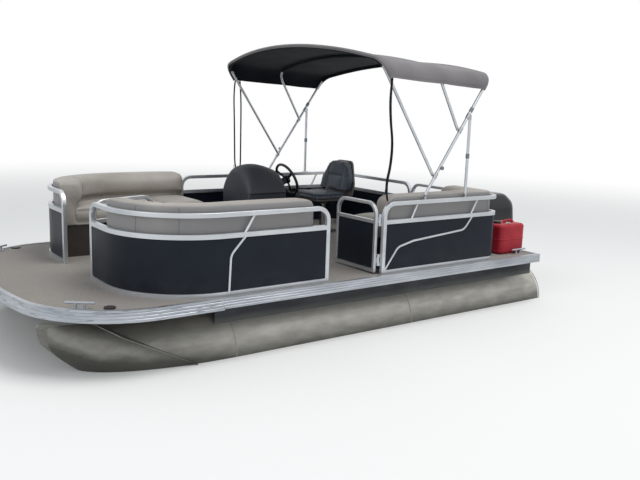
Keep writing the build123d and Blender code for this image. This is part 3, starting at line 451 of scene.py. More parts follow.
def spaced(line, count):
    """count points at equal steps along a line of points."""
    runs = [0.0]
    for a, b in zip(line, line[1:]):
        runs.append(runs[-1] + (b - a).length)
    wanted = np.linspace(0, runs[-1], count)
    columns = [np.interp(wanted, runs, [p[axis] for p in line]) for axis in range(3)]
    return [Vector(p) for p in zip(*columns)]


def line_length(line):
    return sum((b - a).length for a, b in zip(line, line[1:]))


def ring(radius, sides=8):
    turns = [2 * math.pi * index / sides for index in range(sides)]
    return [(radius * math.cos(turn), radius * math.sin(turn)) for turn in turns]


def swept(shape, line, profile, side, closed=False):
    """Adds to a bmesh the profile carried along a line, its first axis kept nearest to side."""
    side = Vector(side)
    count = len(line)
    rings = []
    for index, point in enumerate(line):
        before = line[index - 1] if index or closed else point
        after = line[(index + 1) % count] if index < count - 1 or closed else point
        along = (after - before).normalized()
        across = (side - along * side.dot(along)).normalized()
        up = along.cross(across)
        rings.append([shape.verts.new(point + across * a + up * b) for a, b in profile])
    pairs = list(zip(rings, rings[1:])) + ([(rings[-1], rings[0])] if closed else [])
    sides = len(profile)
    for first, second in pairs:
        for k in range(sides):
            n = (k + 1) % sides
            shape.faces.new((first[k], first[n], second[n], second[k]))
    if not closed:
        shape.faces.new(rings[0][::-1])
        shape.faces.new(rings[-1])


def skinned(shape, rings, capped=True):
    """Adds to a bmesh the skin over a row of closed rings with equal counts."""
    rings = [[shape.verts.new(point) for point in points] for points in rings]
    count = len(rings[0])
    for first, second in zip(rings, rings[1:]):
        for k in range(count):
            n = (k + 1) % count
            shape.faces.new((first[k], first[n], second[n], second[k]))
    if capped:
        shape.faces.new(rings[0][::-1])
        shape.faces.new(rings[-1])


def turned(shape, place, axis, profile, sides=24):
    """Adds to a bmesh a turned part: profile rows are (radius, distance along the axis)."""
    axis = Vector(axis).normalized()
    across = axis.orthogonal().normalized()
    up = axis.cross(across)
    rows = []
    for radius, along in profile:
        middle = Vector(place) + axis * along
        rows.append([middle + (across * a + up * b) for a, b in ring(radius, sides)])
    skinned(shape, rows)


def placed(name, shape, finish, body, crease=40):
    """Turns a bmesh or mesh into a piece of the boat."""
    if isinstance(shape, bmesh.types.BMesh):
        bmesh.ops.recalc_face_normals(shape, faces=shape.faces[:])
        shape = meshed(name, shape)
    shape.name = name
    shape.polygons.foreach_set("use_smooth", [True] * len(shape.polygons))
    shape.set_sharp_from_angle(angle=math.radians(crease))
    if not shape.materials:
        shape.materials.append(None)
    shape.materials[0] = LOOK[finish]
    piece = linked(name, shape)
    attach(piece, body)
    return piece


def evaluated(obj):
    graph = bpy.context.evaluated_depsgraph_get()
    return bpy.data.meshes.new_from_object(obj.evaluated_get(graph))


# Screw heads and stitches, set by Geometry Nodes
def tree_with(name, labels):
    """An empty node tree with a geometry input and output, number inputs with these labels and a finish."""
    tree = bpy.data.node_groups.new(name, "GeometryNodeTree")
    tree.interface.new_socket("Geometry", in_out="INPUT", socket_type="NodeSocketGeometry")
    for label in labels:
        tree.interface.new_socket(label, in_out="INPUT", socket_type="NodeSocketFloat")
    tree.interface.new_socket("Finish", in_out="INPUT", socket_type="NodeSocketMaterial")
    tree.interface.new_socket("Geometry", in_out="OUTPUT", socket_type="NodeSocketGeometry")
    return tree, node(tree, "NodeGroupInput").outputs


def set_on(tree, given, points, shape, facing, radius, length):
    """Sets a shape on every point, its Z along facing, and gives it the finish."""
    turn = node(tree, "FunctionNodeAlignRotationToVector", {"Vector": facing}, axis="Z").outputs[0]
    size = node(tree, "ShaderNodeCombineXYZ", {0: radius, 1: radius, 2: length}).outputs[0]
    where = {"Points": points, "Instance": shape, "Rotation": turn, "Scale": size}
    copies = node(tree, "GeometryNodeInstanceOnPoints", where).outputs[0]
    solid = node(tree, "GeometryNodeRealizeInstances", {0: copies}).outputs[0]
    dressed = {"Geometry": solid, "Material": given["Finish"]}
    node(tree, "NodeGroupOutput", {0: node(tree, "GeometryNodeSetMaterial", dressed).outputs[0]})
    return tree


def stud_tree():
    tree, given = tree_with("studs", ("Head radius", "Head height"))
    kind = {"data_type": "FLOAT_VECTOR"}
    outward = node(tree, "GeometryNodeInputNamedAttribute", {"Name": "outward"}, **kind).outputs[0]
    head = node(tree, "GeometryNodeMeshUVSphere", {"Segments": 10, "Rings": 5, "Radius": 1.0}).outputs[0]
    return set_on(tree, given, given["Geometry"], head, outward, given["Head radius"], given["Head height"])


def stitch_tree():
    tree, given = tree_with("stitches", ("Pitch", "Stitch length", "Thread radius"))
    path = node(tree, "GeometryNodeMeshToCurve", {"Mesh": given["Geometry"]}).outputs[0]
    steps = {"Curve": path, "Length": given["Pitch"]}
    places = node(tree, "GeometryNodeResampleCurve", steps, mode="LENGTH").outputs[0]
    tangent = node(tree, "GeometryNodeInputTangent").outputs[0]
    bead = node(tree, "GeometryNodeMeshIcoSphere", {"Radius": 1.0, "Subdivisions": 1}).outputs[0]
    return set_on(tree, given, places, bead, tangent, given["Thread radius"], given["Stitch length"])


STITCHES = stitch_tree()
STUDS = stud_tree()
THREAD_RADIUS = 0.0010
STITCH_SHARE = 0.33


def grown(marks, tree, values):
    """The plain mesh that a node tree makes on a mesh of marks."""
    holder = linked("marks", marks)
    modifier = holder.modifiers.new("grown", "NODES")
    modifier.node_group = tree
    for item in tree.interface.items_tree:
        if item.in_out == "INPUT" and item.name in values:
            modifier[item.identifier] = values[item.name]
    made = evaluated(holder)
    bpy.data.objects.remove(holder)
    return made


def stitched(name, lines, finish, body, pitch=0.009):
    """Stitches along lines that already lie on a surface."""
    points, edges = [], []
    for line in lines:
        first = len(points)
        points += [tuple(point) for point in line]
        edges += [(first + k, first + k + 1) for k in range(len(line) - 1)]
    marks = bpy.data.meshes.new(name)
    marks.from_pydata(points, edges, [])
    values = {"Pitch": pitch, "Stitch length": pitch * STITCH_SHARE}
    values |= {"Thread radius": THREAD_RADIUS, "Finish": LOOK[finish]}
    return placed(name, grown(marks, STITCHES, values), finish, body, 180)


def studded(name, rows, radius, height, finish, body):
    """rows: (place, outward direction) of each head."""
    marks = bpy.data.meshes.new(name)
    marks.from_pydata([tuple(place) for place, _ in rows], [], [])
    facing = marks.attributes.new("outward", "FLOAT_VECTOR", "POINT")
    facing.data.foreach_set("vector", [value for _, outward in rows for value in outward])
    values = {"Head radius": radius, "Head height": height, "Finish": LOOK[finish]}
    return placed(name, grown(marks, STUDS, values), finish, body)


# Cushions: the CAD shape drawn in a little, remeshed, tucked at its seams and blown up as cloth
def cad_copy(name, keep=None):
    shape = bmesh.new()
    shape.from_mesh(frame["nodes"][name].data)
    bmesh.ops.remove_doubles(shape, verts=shape.verts[:], dist=1e-5)
    if keep:
        bmesh.ops.delete(shape, geom=[v for v in shape.verts if not keep(v.co)], context="VERTS")
    return meshed("copy", shape)


def positions(mesh):
    flat = np.zeros(len(mesh.vertices) * 3)
    mesh.vertices.foreach_get("co", flat)
    return flat.reshape(-1, 3)


def normals(mesh):
    flat = np.zeros(len(mesh.vertices) * 3, np.float32)
    mesh.vertex_normals.foreach_get("vector", flat)
    return flat.reshape(-1, 3).astype(float)


def seam_distance(points, seam):
    """Distance of each point from a seam plane; far where the seam doesn't run."""
    origin, normal, runs = seam
    away = np.abs((points - np.array(origin)) @ np.array(normal, float))
    if runs is not None:
        away[~runs(points)] = FAR
    return away


TUCK_REACH = 0.028
CLOTH_FRAMES = 20


def stuffed(mesh, seams, firm, voxel=0.013, draw_in=0.006, tuck=0.011, swell=0.015):
    """A cushion from its plain shape: remeshed, tucked at its seams and blown up where it isn't firm."""
    obj = linked("stuffing", mesh)
    remesh = obj.modifiers.new("remesh", "REMESH")
    remesh.mode = "VOXEL"
    remesh.voxel_size = voxel
    fine = evaluated(obj)
    obj.modifiers.clear()
    obj.data = fine
    points = positions(fine)
    out = normals(fine)
    away = np.full(len(points), FAR)
    for seam in seams:
        away = np.minimum(away, seam_distance(points, seam))
    share = np.clip(1 - away / TUCK_REACH, 0, 1) ** 2
    hard = firm(points)
    points = points - out * np.where(hard, 0.001 + 0.003 * share, draw_in + tuck * share)[:, None]
    fine.vertices.foreach_set("co", points.ravel())
    fine.update()
    points = blown_up(obj, points, hard | (away < voxel * 0.75), swell)
    fine.vertices.foreach_set("co", points.ravel())
    fine.update()
    smooth = obj.modifiers.new("smooth", "SMOOTH")
    smooth.iterations = 3
    smooth.factor = 0.4
    rounder = obj.modifiers.new("rounder", "SUBSURF")
    rounder.levels = rounder.render_levels = 1
    result = evaluated(obj)
    bpy.data.objects.remove(obj)
    return result


def blown_up(obj, points, held, swell):
    """The points after the cloth under pressure has moved them, by swell at the most."""
    pins = obj.vertex_groups.new(name="pins")
    pins.add([int(k) for k in np.where(held)[0]], 1.0, "REPLACE")
    cloth = obj.modifiers.new("cloth", "CLOTH")
    rules = cloth.settings
    rules.quality = 4
    rules.mass = 0.3
    rules.tension_stiffness = rules.compression_stiffness = 12
    rules.shear_stiffness = 5
    rules.bending_stiffness = 0.4
    rules.vertex_group_mass = "pins"
    rules.use_pressure = True
    rules.uniform_pressure_force = 4
    rules.effector_weights.gravity = 0
    cloth.collision_settings.use_collision = False
    cloth.point_cache.frame_start = 1
    cloth.point_cache.frame_end = CLOTH_FRAMES
    for step in range(CLOTH_FRAMES):
        bpy.context.scene.frame_set(step + 1)
    moved = positions(evaluated(obj)) - points
    obj.modifiers.clear()
    bpy.context.scene.frame_set(1)
    reach = np.linalg.norm(moved, axis=1, keepdims=True) + 1e-9
    return points + moved / reach * swell * np.tanh(reach / swell)


def cut_lines(mesh, seam):
    """The lines where a seam's plane cuts a mesh: a list of (points, closed)."""
    origin, normal, runs = seam
    shape = bmesh.new()
    shape.from_mesh(mesh)
    everything = shape.verts[:] + shape.edges[:] + shape.faces[:]
    cut = bmesh.ops.bisect_plane(shape, geom=everything, plane_co=origin, plane_no=normal, dist=1e-6)
    near = {}
    for edge in cut["geom_cut"]:
        if not isinstance(edge, bmesh.types.BMEdge):
            continue
        a, b = edge.verts
        if runs is not None and not runs(np.array([(a.co + b.co) / 2]))[0]:
            continue
        near.setdefault(id(a), (a, []))[1].append(b)
        near.setdefault(id(b), (b, []))[1].append(a)
    lines = []
    used = set()
    starts = sorted(near, key=lambda key: (len(near[key][1]) != 1, tuple(near[key][0].co)))
    for start in starts:
        if start in used:
            continue
        vert = near[start][0]
        line = [vert.co.copy()]
        used.add(start)
        closed = False
        while True:
            onward = [v for v in near[id(vert)][1] if id(v) not in used]
            if not onward:
                closed = len(line) > 2 and near[start][0] in near[id(vert)][1]
                break
            vert = onward[0]
            used.add(id(vert))
            line.append(vert.co.copy())
        if len(line) > 3:
            lines.append((line, closed))
    shape.free()
    return lines


def seam_paths(mesh, seam, spacing):
    """A seam's lines on a mesh, evenly spaced and eased: (points, closed)."""
    paths = []
    for line, closed in cut_lines(mesh, seam):
        if closed:
            line = line + [line[0]]
        line = spaced(line, max(6, round(line_length(line) / spacing)))
        if closed:
            line = line[:-1]
        for _ in range(2):
            eased = []
            for k, point in enumerate(line):
                before = line[k - 1] if k or closed else point
                after = line[(k + 1) % len(line)] if k < len(line) - 1 or closed else point
                eased.append(point * 0.5 + (before + after) * 0.25)
            line = eased
        paths.append((line, closed))
    return paths


def welted(name, mesh, seams, radius, finish, body, slot, spacing=0.012):
    """Welt cord laid in the seams of a cushion."""
    shape = bmesh.new()
    for seam in seams:
        for line, closed in seam_paths(mesh, seam, spacing):
            swept(shape, line, ring(radius, 6), seam[1], closed)
    return placed(name, shape, finish, body)


def topstitched(name, mesh, seams, offset, finish, body):
    """A row of stitches on the cushion, beside each seam."""
    lines = []
    for origin, normal, runs in seams:
        beside = (tuple(np.array(origin) + np.array(normal) * offset), normal, runs)
        lines += [line for line, _ in seam_paths(mesh, beside, 0.02)]
    return stitched(name, lines, finish, body)


def mirrored_mesh(mesh):
    shape = bmesh.new()
    shape.from_mesh(mesh)
    for vert in shape.verts:
        vert.co.y = -vert.co.y
    bmesh.ops.reverse_faces(shape, faces=shape.faces[:])
    return meshed("mirrored", shape)


def flipped_seams(seams):
    rows = []
    for origin, normal, runs in seams:
        mirrored = None if runs is None else (lambda points, runs=runs: runs(points * FLIP))
        rows.append((tuple(FLIP * origin), tuple(FLIP * normal), mirrored))
    return rows


def round_inset(radius, depth):
    """How far a surface has drawn in at a depth from an end that is rounded with this radius."""
    left = max(0.0, radius - depth)
    return radius - math.sqrt(max(0.0, radius**2 - left**2))


def end_runs(start, end, steps, middle):
    """Places from start to end: close steps at both rounded ends and others between."""
    return [start + step for step in steps] + list(middle) + [end - step for step in steps[::-1]]


# Couch backs: a section carried along the inside of the fence and round its corner
BACK_PANEL = 0.158
BACK_ROLL = 0.203
ROLL_FOOT_Z = 0.868
SECTION_POINTS = 44
END_ROUND = 0.045
END_SEAM = 0.030
# the section's corner radii with the roll, and with the plain arm and its shelf and panel heights
ROLL_RADII = [0.020, 0.075, 0.034, 0.005]
ARM_RADII = [0.020, 0.075, 0.060, 0.060]
ARM_SHELF_Z, ARM_PANEL_Z = 0.935, 0.855
# depths that tell the inner face from the outer one, and how thick the skin on the frame is
INNER_FACE, OUTER_FACE = 0.10, 0.03
FRAME_SKIN, BASE_SKIN = 0.012, 0.010


def couch_plan(place, radius, ahead, crown):
    """The outer face in plan, read from the CAD back: straight side, corner and short end."""
    low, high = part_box(f"port_{place}_couch_back")
    start, far = (low[0], high[0]) if ahead > 0 else (high[0], low[0])
    side = abs(far - start) - radius
    return {
        "start": start,
        "centre": (far - ahead * radius, high[1] - radius),
        "radius": radius,
        "ahead": ahead,
        "side": side,
        "arc": radius * math.pi / 2,
        "end": high[1] - radius - low[1],
        "foot": low[2] + 0.0015,
        "top": high[2] - crown,
    }


def couch_place(plan, run, depth):
    """Plan position at a run along a couch's outer face and a depth in from it."""
    inner = plan["radius"] - depth
    side, arc = plan["side"], plan["arc"]
    if run < side:
        ahead, out = min(run - side, inner), inner
    elif run < side + arc:
        turn = (run - side) / plan["radius"]
        ahead, out = (inner * math.sin(turn), inner * math.cos(turn)) if inner > 0 else (inner, inner)
    else:
        ahead, out = inner, min(side + arc - run, inner)
    return plan["centre"][0] + plan["ahead"] * ahead, plan["centre"][1] + out


def couch_offsets(plan, points):
    return (points[:, 0] - plan["centre"][0]) * plan["ahead"], points[:, 1] - plan["centre"][1]


def couch_depth(plan, points):
    """How far in from a couch's outer face each point lies."""
    ahead, out = couch_offsets(plan, points)
    outside = np.hypot(np.maximum(ahead, 0), np.maximum(out, 0)) + np.minimum(np.maximum(ahead, out), 0)
    return plan["radius"] - outside


def back_section(plan, shelf, panel_top, radii):
    """Outline in depth and height: hard outer face, round top, and a roll above a flatter panel."""
    foot, top = plan["foot"], plan["top"]
    outer = [(0, foot), (0, top), (BACK_ROLL, top)]
    inner = [(BACK_ROLL, shelf), (BACK_PANEL, panel_top), (BACK_PANEL, foot)]
    return spaced(rounded([(depth, z, 0) for depth, z in outer + inner], radii, 0.006), SECTION_POINTS)


def couch_back(plan, arm):
    """The back as a closed mesh. With an arm, the roll ends in a plain slope past the corner's middle."""
    rolled = back_section(plan, ROLL_FOOT_Z, ROLL_FOOT_Z - 0.004, ROLL_RADII)
    leaning = back_section(plan, ARM_SHELF_Z, ARM_PANEL_Z, ARM_RADII)
    length = plan["side"] + plan["arc"] + plan["end"]
    turn_in = plan["side"] + plan["arc"] / 2
    middle = np.linspace(END_ROUND, length - END_ROUND, round(length / 0.02))
    shape = bmesh.new()
    rings = []
    for run in end_runs(0, length, [0, 0.004, 0.013, 0.027], middle):
        inset = round_inset(END_ROUND, min(run, length - run))
        share = min(max((run - turn_in) / 0.05 + 0.5, 0), 1) if arm else 0
        points = []
        for first, second in zip(rolled, leaning):
            depth, z, _ = first.lerp(second, share)
            depth *= 1 - inset / BACK_ROLL
            z -= inset * (z - plan["foot"]) / (plan["top"] - plan["foot"])
            points.append((*couch_place(plan, run, depth), z))
        rings.append(points)
    skinned(shape, rings)
    bmesh.ops.recalc_face_normals(shape, faces=shape.faces[:])
    return meshed("back", shape)


def back_seams(plan, arm, outer_turns, outer_side):
    """Seams of a couch back: under the roll, round its free end, at the arm, and down the outer face."""
    def inner(points):
        return couch_depth(plan, points) > INNER_FACE

    def inner_side(points):
        ahead, out = couch_offsets(plan, points)
        return inner(points) & (ahead < out) if arm else inner(points)

    def outer(points):
        return (couch_depth(plan, points) < OUTER_FACE) & (points[:, 2] < plan["top"] - 0.02)

    centre = (*plan["centre"], 0)
    ahead = plan["ahead"]
    rows = [((0, 0, ROLL_FOOT_Z), (0, 0, 1), inner_side)]
    rows.append(((plan["start"] + ahead * END_SEAM, 0, 0), (1, 0, 0), inner))
    if arm:
        rows.append((centre, (DIAGONAL * ahead, -DIAGONAL, 0), inner))
    for degrees in outer_turns:
        turn = math.radians(degrees)
        rows.append((centre, (-math.sin(turn) * ahead, math.cos(turn), 0), outer))
    rows += [((x, 0, 0), (1, 0, 0), outer) for x in outer_side]
    return rows


DIAGONAL = math.sqrt(0.5)
# each row: corner radius, direction along X, height kept for the crown, plain arm or not,
# outer seams round the corner in degrees, outer seams along the side, cross seams of the seat,
# and the sides of the boat that have this couch
COUCHES = {
    "bow": (0.551, 1, 0.008, True, (29, 60), (), (0.605, 0.962), ("port", "starboard")),
    "aft": (0.080, -1, 0.020, False, (), (-1.585,), (-0.87, -1.27), ("port",)),
}
SEAT_WELTS = [((0, 0, SEAT_TOP_Z - down), (0, 0, 1), None) for down in (0.026, 0.122)]
WELT_RADIUS = 0.0022
STITCH_OFFSET = 0.011


def upholster_couches():
    for place, row in COUCHES.items():
        radius, ahead, crown, arm, outer_turns, outer_side, crossings, sides = row
        plan = couch_plan(place, radius, ahead, crown)
        seat_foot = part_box(f"port_{place}_couch_seat")[0][2]

        def against_fence(points):
            low = points[:, 2] < plan["foot"] + FRAME_SKIN
            return (couch_depth(plan, points) < FRAME_SKIN) | low

        def on_base(points):
            return points[:, 2] < seat_foot + BASE_SKIN

        seams = {
            "back": back_seams(plan, arm, outer_turns, outer_side),
            "seat": [((x, 0, 0), (1, 0, 0), None) for x in crossings] + SEAT_WELTS,
        }
        shapes = {
            "back": stuffed(couch_back(plan, arm), seams["back"], against_fence),
            "seat": stuffed(cad_copy(f"port_{place}_couch_seat"), seams["seat"], on_base),
        }
        for side in sides:
            for part, port in shapes.items():
                mesh = port.copy() if side == "port" else mirrored_mesh(port)
                there = seams[part] if side == "port" else flipped_seams(seams[part])
                label = f"{side}_{place}_couch_{part}"
                welted(label + "_welts", mesh, there, WELT_RADIUS, "seam", "boat", "seat_vinyl")
                first = there[:1]
                topstitched(label + "_stitches", mesh, first, STITCH_OFFSET, "stitch", "boat")
                cushion = placed(label + "_cushion", mesh, "seat_vinyl", "boat", 180)
                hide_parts(label)


CHAIR_SPLIT_Z = 0.865
CHAIR_X, CHAIR_Y = -1.165, -0.660
CHAIR_WELT_RADIUS = 0.0026
CHAIR_WELT_Z = 0.832
CHAIR_SHELL_Z = 0.800
SEAT_FOLD_X, BACK_FOLD_Z = CHAIR_X + 0.06, 1.015
BOLSTER_Y = 0.118


def upholster_chair():
    bolsters = [((0, CHAIR_Y + dy, 0), (0, 1, 0), None) for dy in (-BOLSTER_Y, BOLSTER_Y)]
    seat_welts = [((0, 0, CHAIR_WELT_Z), (0, 0, 1), None), ((SEAT_FOLD_X, 0, 0), (1, 0, 0), None)]
    back_rows = [((0, 0, BACK_FOLD_Z), (0, 0, 1), lambda points: np.abs(points[:, 1] - CHAIR_Y) < BOLSTER_Y)]
    # each row: which side of the split, seams, and the height below which the pad rests on the shell
    pads = {
        "seat": (lambda co: co.z < CHAIR_SPLIT_Z, bolsters + seat_welts, CHAIR_SHELL_Z),
        "back": (lambda co: co.z > CHAIR_SPLIT_Z, bolsters + back_rows, 0),
    }
    for part, (keep, seams, rest_z) in pads.items():
        plain = cad_copy("chair_cushions", keep)
        mesh = stuffed(plain, seams, lambda points: points[:, 2] < rest_z, 0.009, 0.005, 0.010, 0.014)
        label = "helm_chair_" + part
        cord = (CHAIR_WELT_RADIUS, "dark_seam", "helm_chair", "chair_vinyl", 0.009)
        welted(label + "_welts", mesh, seams, *cord)
        cushion = placed(label + "_cushion", mesh, "chair_vinyl", "helm_chair", 180)
        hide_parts("chair_cushions")


# Bimini canopy: one sheet over three bows, with a slight sag in each bay
MAIN_BOW = ((-0.810, 1.035), (-1.470, 1.985))
SIDE_BOW_Y = 1.1184
# each row: pivot height on the main bow, corner of the bow, how far the canopy hangs below it,
# and half the width of the bow and of the sleeve round it
CANOPY_BOWS = [
    (1.035, (-1.470, 1.985), 0.130, FENCE_Y, 1.135),
    (1.545, (-0.890, 2.010), 0.130, SIDE_BOW_Y, 1.030),
    (1.185, (-0.310, 2.050), 0.158, SIDE_BOW_Y, 1.110),
]
BOW_BEND, CROWN_BEND = 0.130, 4.2
CANOPY_CROWN = 0.230
CANOPY_LIFT = 0.0150
CANOPY_SPAN = 97
BAY_ROWS = 10
BAY_SAG = 0.016
# how the front and aft edges turn in round their bows: forward and inward
EDGE_WRAPS = ((0.0135, 0.002), (0.0165, 0.010), (0.0145, 0.019))


def main_bow_x(z):
    (foot_x, foot_z), (top_x, top_z) = MAIN_BOW
    return foot_x + (top_x - foot_x) / (top_z - foot_z) * (z - foot_z)


def bow_line(pivot_z, corner, lift, drop, width=FENCE_Y):
    """Where the canopy lies over one bow, from the port edge to the starboard edge."""
    foot = (main_bow_x(pivot_z), pivot_z)
    lean = (corner[0] - foot[0]) / (corner[1] - foot[1])
    stretch = math.hypot(lean, 1)
    up = Vector((lean, 0, 1)) / stretch
    half = width + lift
    bend = BOW_BEND + lift
    flat = [(half, -drop), (half, lift), (0, CANOPY_CROWN * stretch + lift), (-half, lift), (-half, -drop)]
    line = rounded([(y, z, 0) for y, z in flat], [bend, CROWN_BEND + lift, bend])
    origin = Vector((corner[0], 0, corner[1]))
    return [origin + Vector((0, p.x, 0)) + up * p.y for p in line], up


def canopy_rows():
    bows = []
    for pivot_z, corner, drop, _, _ in CANOPY_BOWS:
        line, up = bow_line(pivot_z, corner, CANOPY_LIFT, drop)
        bows.append((spaced(line, CANOPY_SPAN), up))
    rows = []
    for (first, _), (second, _) in zip(bows, bows[1:]):
        for step in range(BAY_ROWS):
            share = step / BAY_ROWS
            droop = 4 * share * (1 - share)
            row = []
            for k, (a, b) in enumerate(zip(first, second)):
                across = abs(2 * k / (CANOPY_SPAN - 1) - 1)
                point = a.lerp(b, share)
                pulls = math.sin(point.x * 19 + point.y * 7) + math.sin(point.x * 11 - point.y * 23)
                inward = droop * (BAY_SAG * (1 - 0.55 * across**6) + 0.0013 * pulls)
                centre = Vector((point.x, 0, 1.4))
                point += (centre - point).normalized() * inward
                row.append(point)
            rows.append(row)
    rows.append(bows[-1][0])
    for forward, inward in EDGE_WRAPS:
        rows.insert(0, wrapped(bows[0], -forward, inward))
        rows.append(wrapped(bows[-1], forward, inward))
    return rows


def wrapped(bow, forward, inward):
    """A bow's line moved forward of it and in towards the tube."""
    line, up = bow
    ahead = up.cross(Vector((0, 1, 0))).normalized() * -1
    if ahead.x < 0:
        ahead = -ahead
    result = []
    for k, point in enumerate(line):
        before, after = line[max(k - 1, 0)], line[min(k + 1, len(line) - 1)]
        along = (after - before).normalized()
        towards = along.cross(ahead).normalized()
        if towards.dot(Vector((point.x, 0, 1.2)) - point) < 0:
            towards = -towards
        result.append(point + ahead * forward + towards * inward)
    return result


CLOTH_THICKNESS = 0.0016


def hang_canopy():
    rows = canopy_rows()
    shape = bmesh.new()
    grid = [[shape.verts.new(p) for p in row] for row in rows]
    for first, second in zip(grid, grid[1:]):
        for k in range(CANOPY_SPAN - 1):
            shape.faces.new((first[k], first[k + 1], second[k + 1], second[k]))
    shape.normal_update()
    shape.faces.ensure_lookup_table()
    middle = shape.faces[len(shape.faces) // 2 + CANOPY_SPAN // 2]
    if middle.normal.z < 0:
        bmesh.ops.reverse_faces(shape, faces=shape.faces[:])
    mesh = meshed("canopy", shape)
    mesh.materials.append(LOOK["canvas"])
    # the underside takes the canvas in painted shade
    mesh.materials.append(LOOK["canvas_in_painted_shade"])
    blank = linked("canopy_blank", mesh)
    cloth = blank.modifiers.new("cloth", "SOLIDIFY")
    cloth.thickness = CLOTH_THICKNESS
    cloth.offset = 1
    cloth.material_offset = 1
    cloth.material_offset_rim = 0
    thick = evaluated(blank)
    bpy.data.objects.remove(blank)
    canopy = placed("bimini_canopy_cloth", thick, "canvas", "boat", 50)
    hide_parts("bimini_canopy")
    edge = len(EDGE_WRAPS) + 1
    hems = []
    for index in (1, -2):
        side = [row[index] for row in rows[edge:-edge]]
        hems.append([point + Vector((0, math.copysign(0.0022, point.y), 0.0008)) for point in side])
    for row in (rows[edge], rows[-edge - 1]):
        hems.append([point + Vector((0, 0, 0.0024)) for point in row])
    stitched("bimini_canopy_stitches", hems, "canvas_stitch", "boat", 0.014)


# Sleeves that hold the canopy to its bows, seen from below, in the canvas's painted shade
SLEEVE_RADIUS = 0.0146


def sleeve_bows():
    shape = bmesh.new()
    for pivot_z, corner, _, width, reach in CANOPY_BOWS:
        line, _ = bow_line(pivot_z, corner, 0.0, 0.2, width)
        line = [point for point in spaced(line, 160) if abs(point.y) < reach]
        swept(shape, line, ring(SLEEVE_RADIUS, 12), (1, 0, 0))
    # painted shade: the sleeves take the dark underside canvas
    placed("bimini_canopy_sleeves", shape, "canvas_in_painted_shade", "boat")


# Straps from the canopy's front edge to the rail: X and height of each point
STRAPS = {
    "port": [
        (
            (-0.415, 1.925), (-0.399, 1.803), (-0.411, 1.628), (-0.446, 1.451),
            (-0.436, 1.272), (-0.404, 1.152), (-0.411, 1.046), (-0.430, 1.004),
        ),
        (
            (-0.424, 1.925), (-0.414, 1.800), (-0.428, 1.610), (-0.461, 1.440),
            (-0.452, 1.270), (-0.421, 1.150), (-0.424, 1.050), (-0.434, 1.004),
        ),
    ],
    "starboard": [
        (
            (-0.400, 1.925), (-0.382, 1.824), (-0.392, 1.560),
            (-0.399, 1.300), (-0.405, 1.059), (-0.432, 1.004),
        ),
        (
            (-0.445, 1.925), (-0.462, 1.769), (-0.464, 1.500),
            (-0.465, 1.250), (-0.465, 1.058), (-0.452, 1.004),
        ),
    ],
}
STRAP_Y = 1.139
STRAP_HALF, STRAP_THICKNESS = 0.0075, 0.0016
BUCKLES_Z = (1.062, 1.084)
BUCKLE_HALF, BUCKLE_BAR = 0.0125, 0.011


def hang_straps():
    shape = bmesh.new()
    buckles = bmesh.new()
    corners = ((-1, -1), (1, -1), (1, 1), (-1, 1))
    section = [(a * STRAP_HALF, b * STRAP_THICKNESS / 2) for a, b in corners]
    for side, sign in SIDES.items():
        for index, points in enumerate(STRAPS[side]):
            y = sign * (STRAP_Y - 0.006 * index)
            swept(shape, smooth_line([(x, y, z) for x, z in points], 60), section, (1, 0, 0))
        buckle_x = STRAPS[side][0][-2][0]
        for edge in (-BUCKLE_HALF, BUCKLE_HALF):
            for z in BUCKLES_Z:
                bar = [(buckle_x + edge, sign * STRAP_Y, z + end) for end in (-BUCKLE_BAR, BUCKLE_BAR)]
                swept(buckles, [Vector(point) for point in bar], ring(0.0022, 6), (1, 0, 0))
    placed("bimini_buckles", buckles, "control_black", "boat")
    straps = placed("bimini_webbing", shape, "webbing", "boat")
    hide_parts("bimini_straps")


def smooth_line(points, count):
    curve = bpy.data.curves.new("route", "CURVE")
    curve.dimensions = "3D"
    spline = curve.splines.new("NURBS")
    spline.points.add(len(points) - 1)
    for point, place in zip(spline.points, points):
        point.co = (*place, 1)
    spline.order_u = 3
    spline.use_endpoint_u = True
    curve.resolution_u = 12
    obj = linked("route", curve)
    mesh = evaluated(obj)
    line = [v.co.copy() for v in mesh.vertices]
    bpy.data.objects.remove(obj)
    return spaced(line, count)


# Screws along the fences
def fence_marks(plan, radius, z, spacing, out):
    """Marks along a fence rail's outer face: (place, outward)."""
    line = rounded([(x, y, z) for x, y in plan], radius, 0.02)
    count = max(2, round(line_length(line) / spacing))
    line = spaced(line, count + 1)
    rows = []
    for k in range(1, count):
        along = (line[k + 1] - line[k - 1]).normalized()
        outward = along.cross(Vector((0, 0, 1)))
        if outward.dot(line[k] - Vector((0, 0, z))) < 0:
            outward = -outward
        rows.append((line[k] + outward * out, outward))
    return rows


SCREW_SPACING = 0.30
FENCE_BOW_X, FENCE_STERN_X = 1.555, -1.69
BOW_CORNER, STERN_CORNER = 0.575, 0.08
BOW_POST_Y = 0.306
# each row: side, aft end of the bow fence, front end of the aft fence and its post beside the stern gate
FENCE_ENDS = ((1, 0.14, -0.4, 0.64), (-1, 0.212, 0.174, 0.05))


def screw_fences():
    plans = []
    for sign, aft_x, front, stern_y in FENCE_ENDS:
        y = sign * FENCE_Y
        bow = [(aft_x, y), (FENCE_BOW_X, y), (FENCE_BOW_X, sign * BOW_POST_Y)]
        aft = [(front, y), (FENCE_STERN_X, y), (FENCE_STERN_X, stern_y)]
        plans += [(bow, [BOW_CORNER]), (aft, [STERN_CORNER])]
    rows = []
    for plan, radius in plans:
        for z in (MID_RAIL_Z, DECK_TOP + RAIL / 2):
            rows += fence_marks(plan, radius, z, SCREW_SPACING, RAIL / 2)
    studded("fence_screws", rows, 0.0045, 0.0018, "rail_aluminium", "boat")


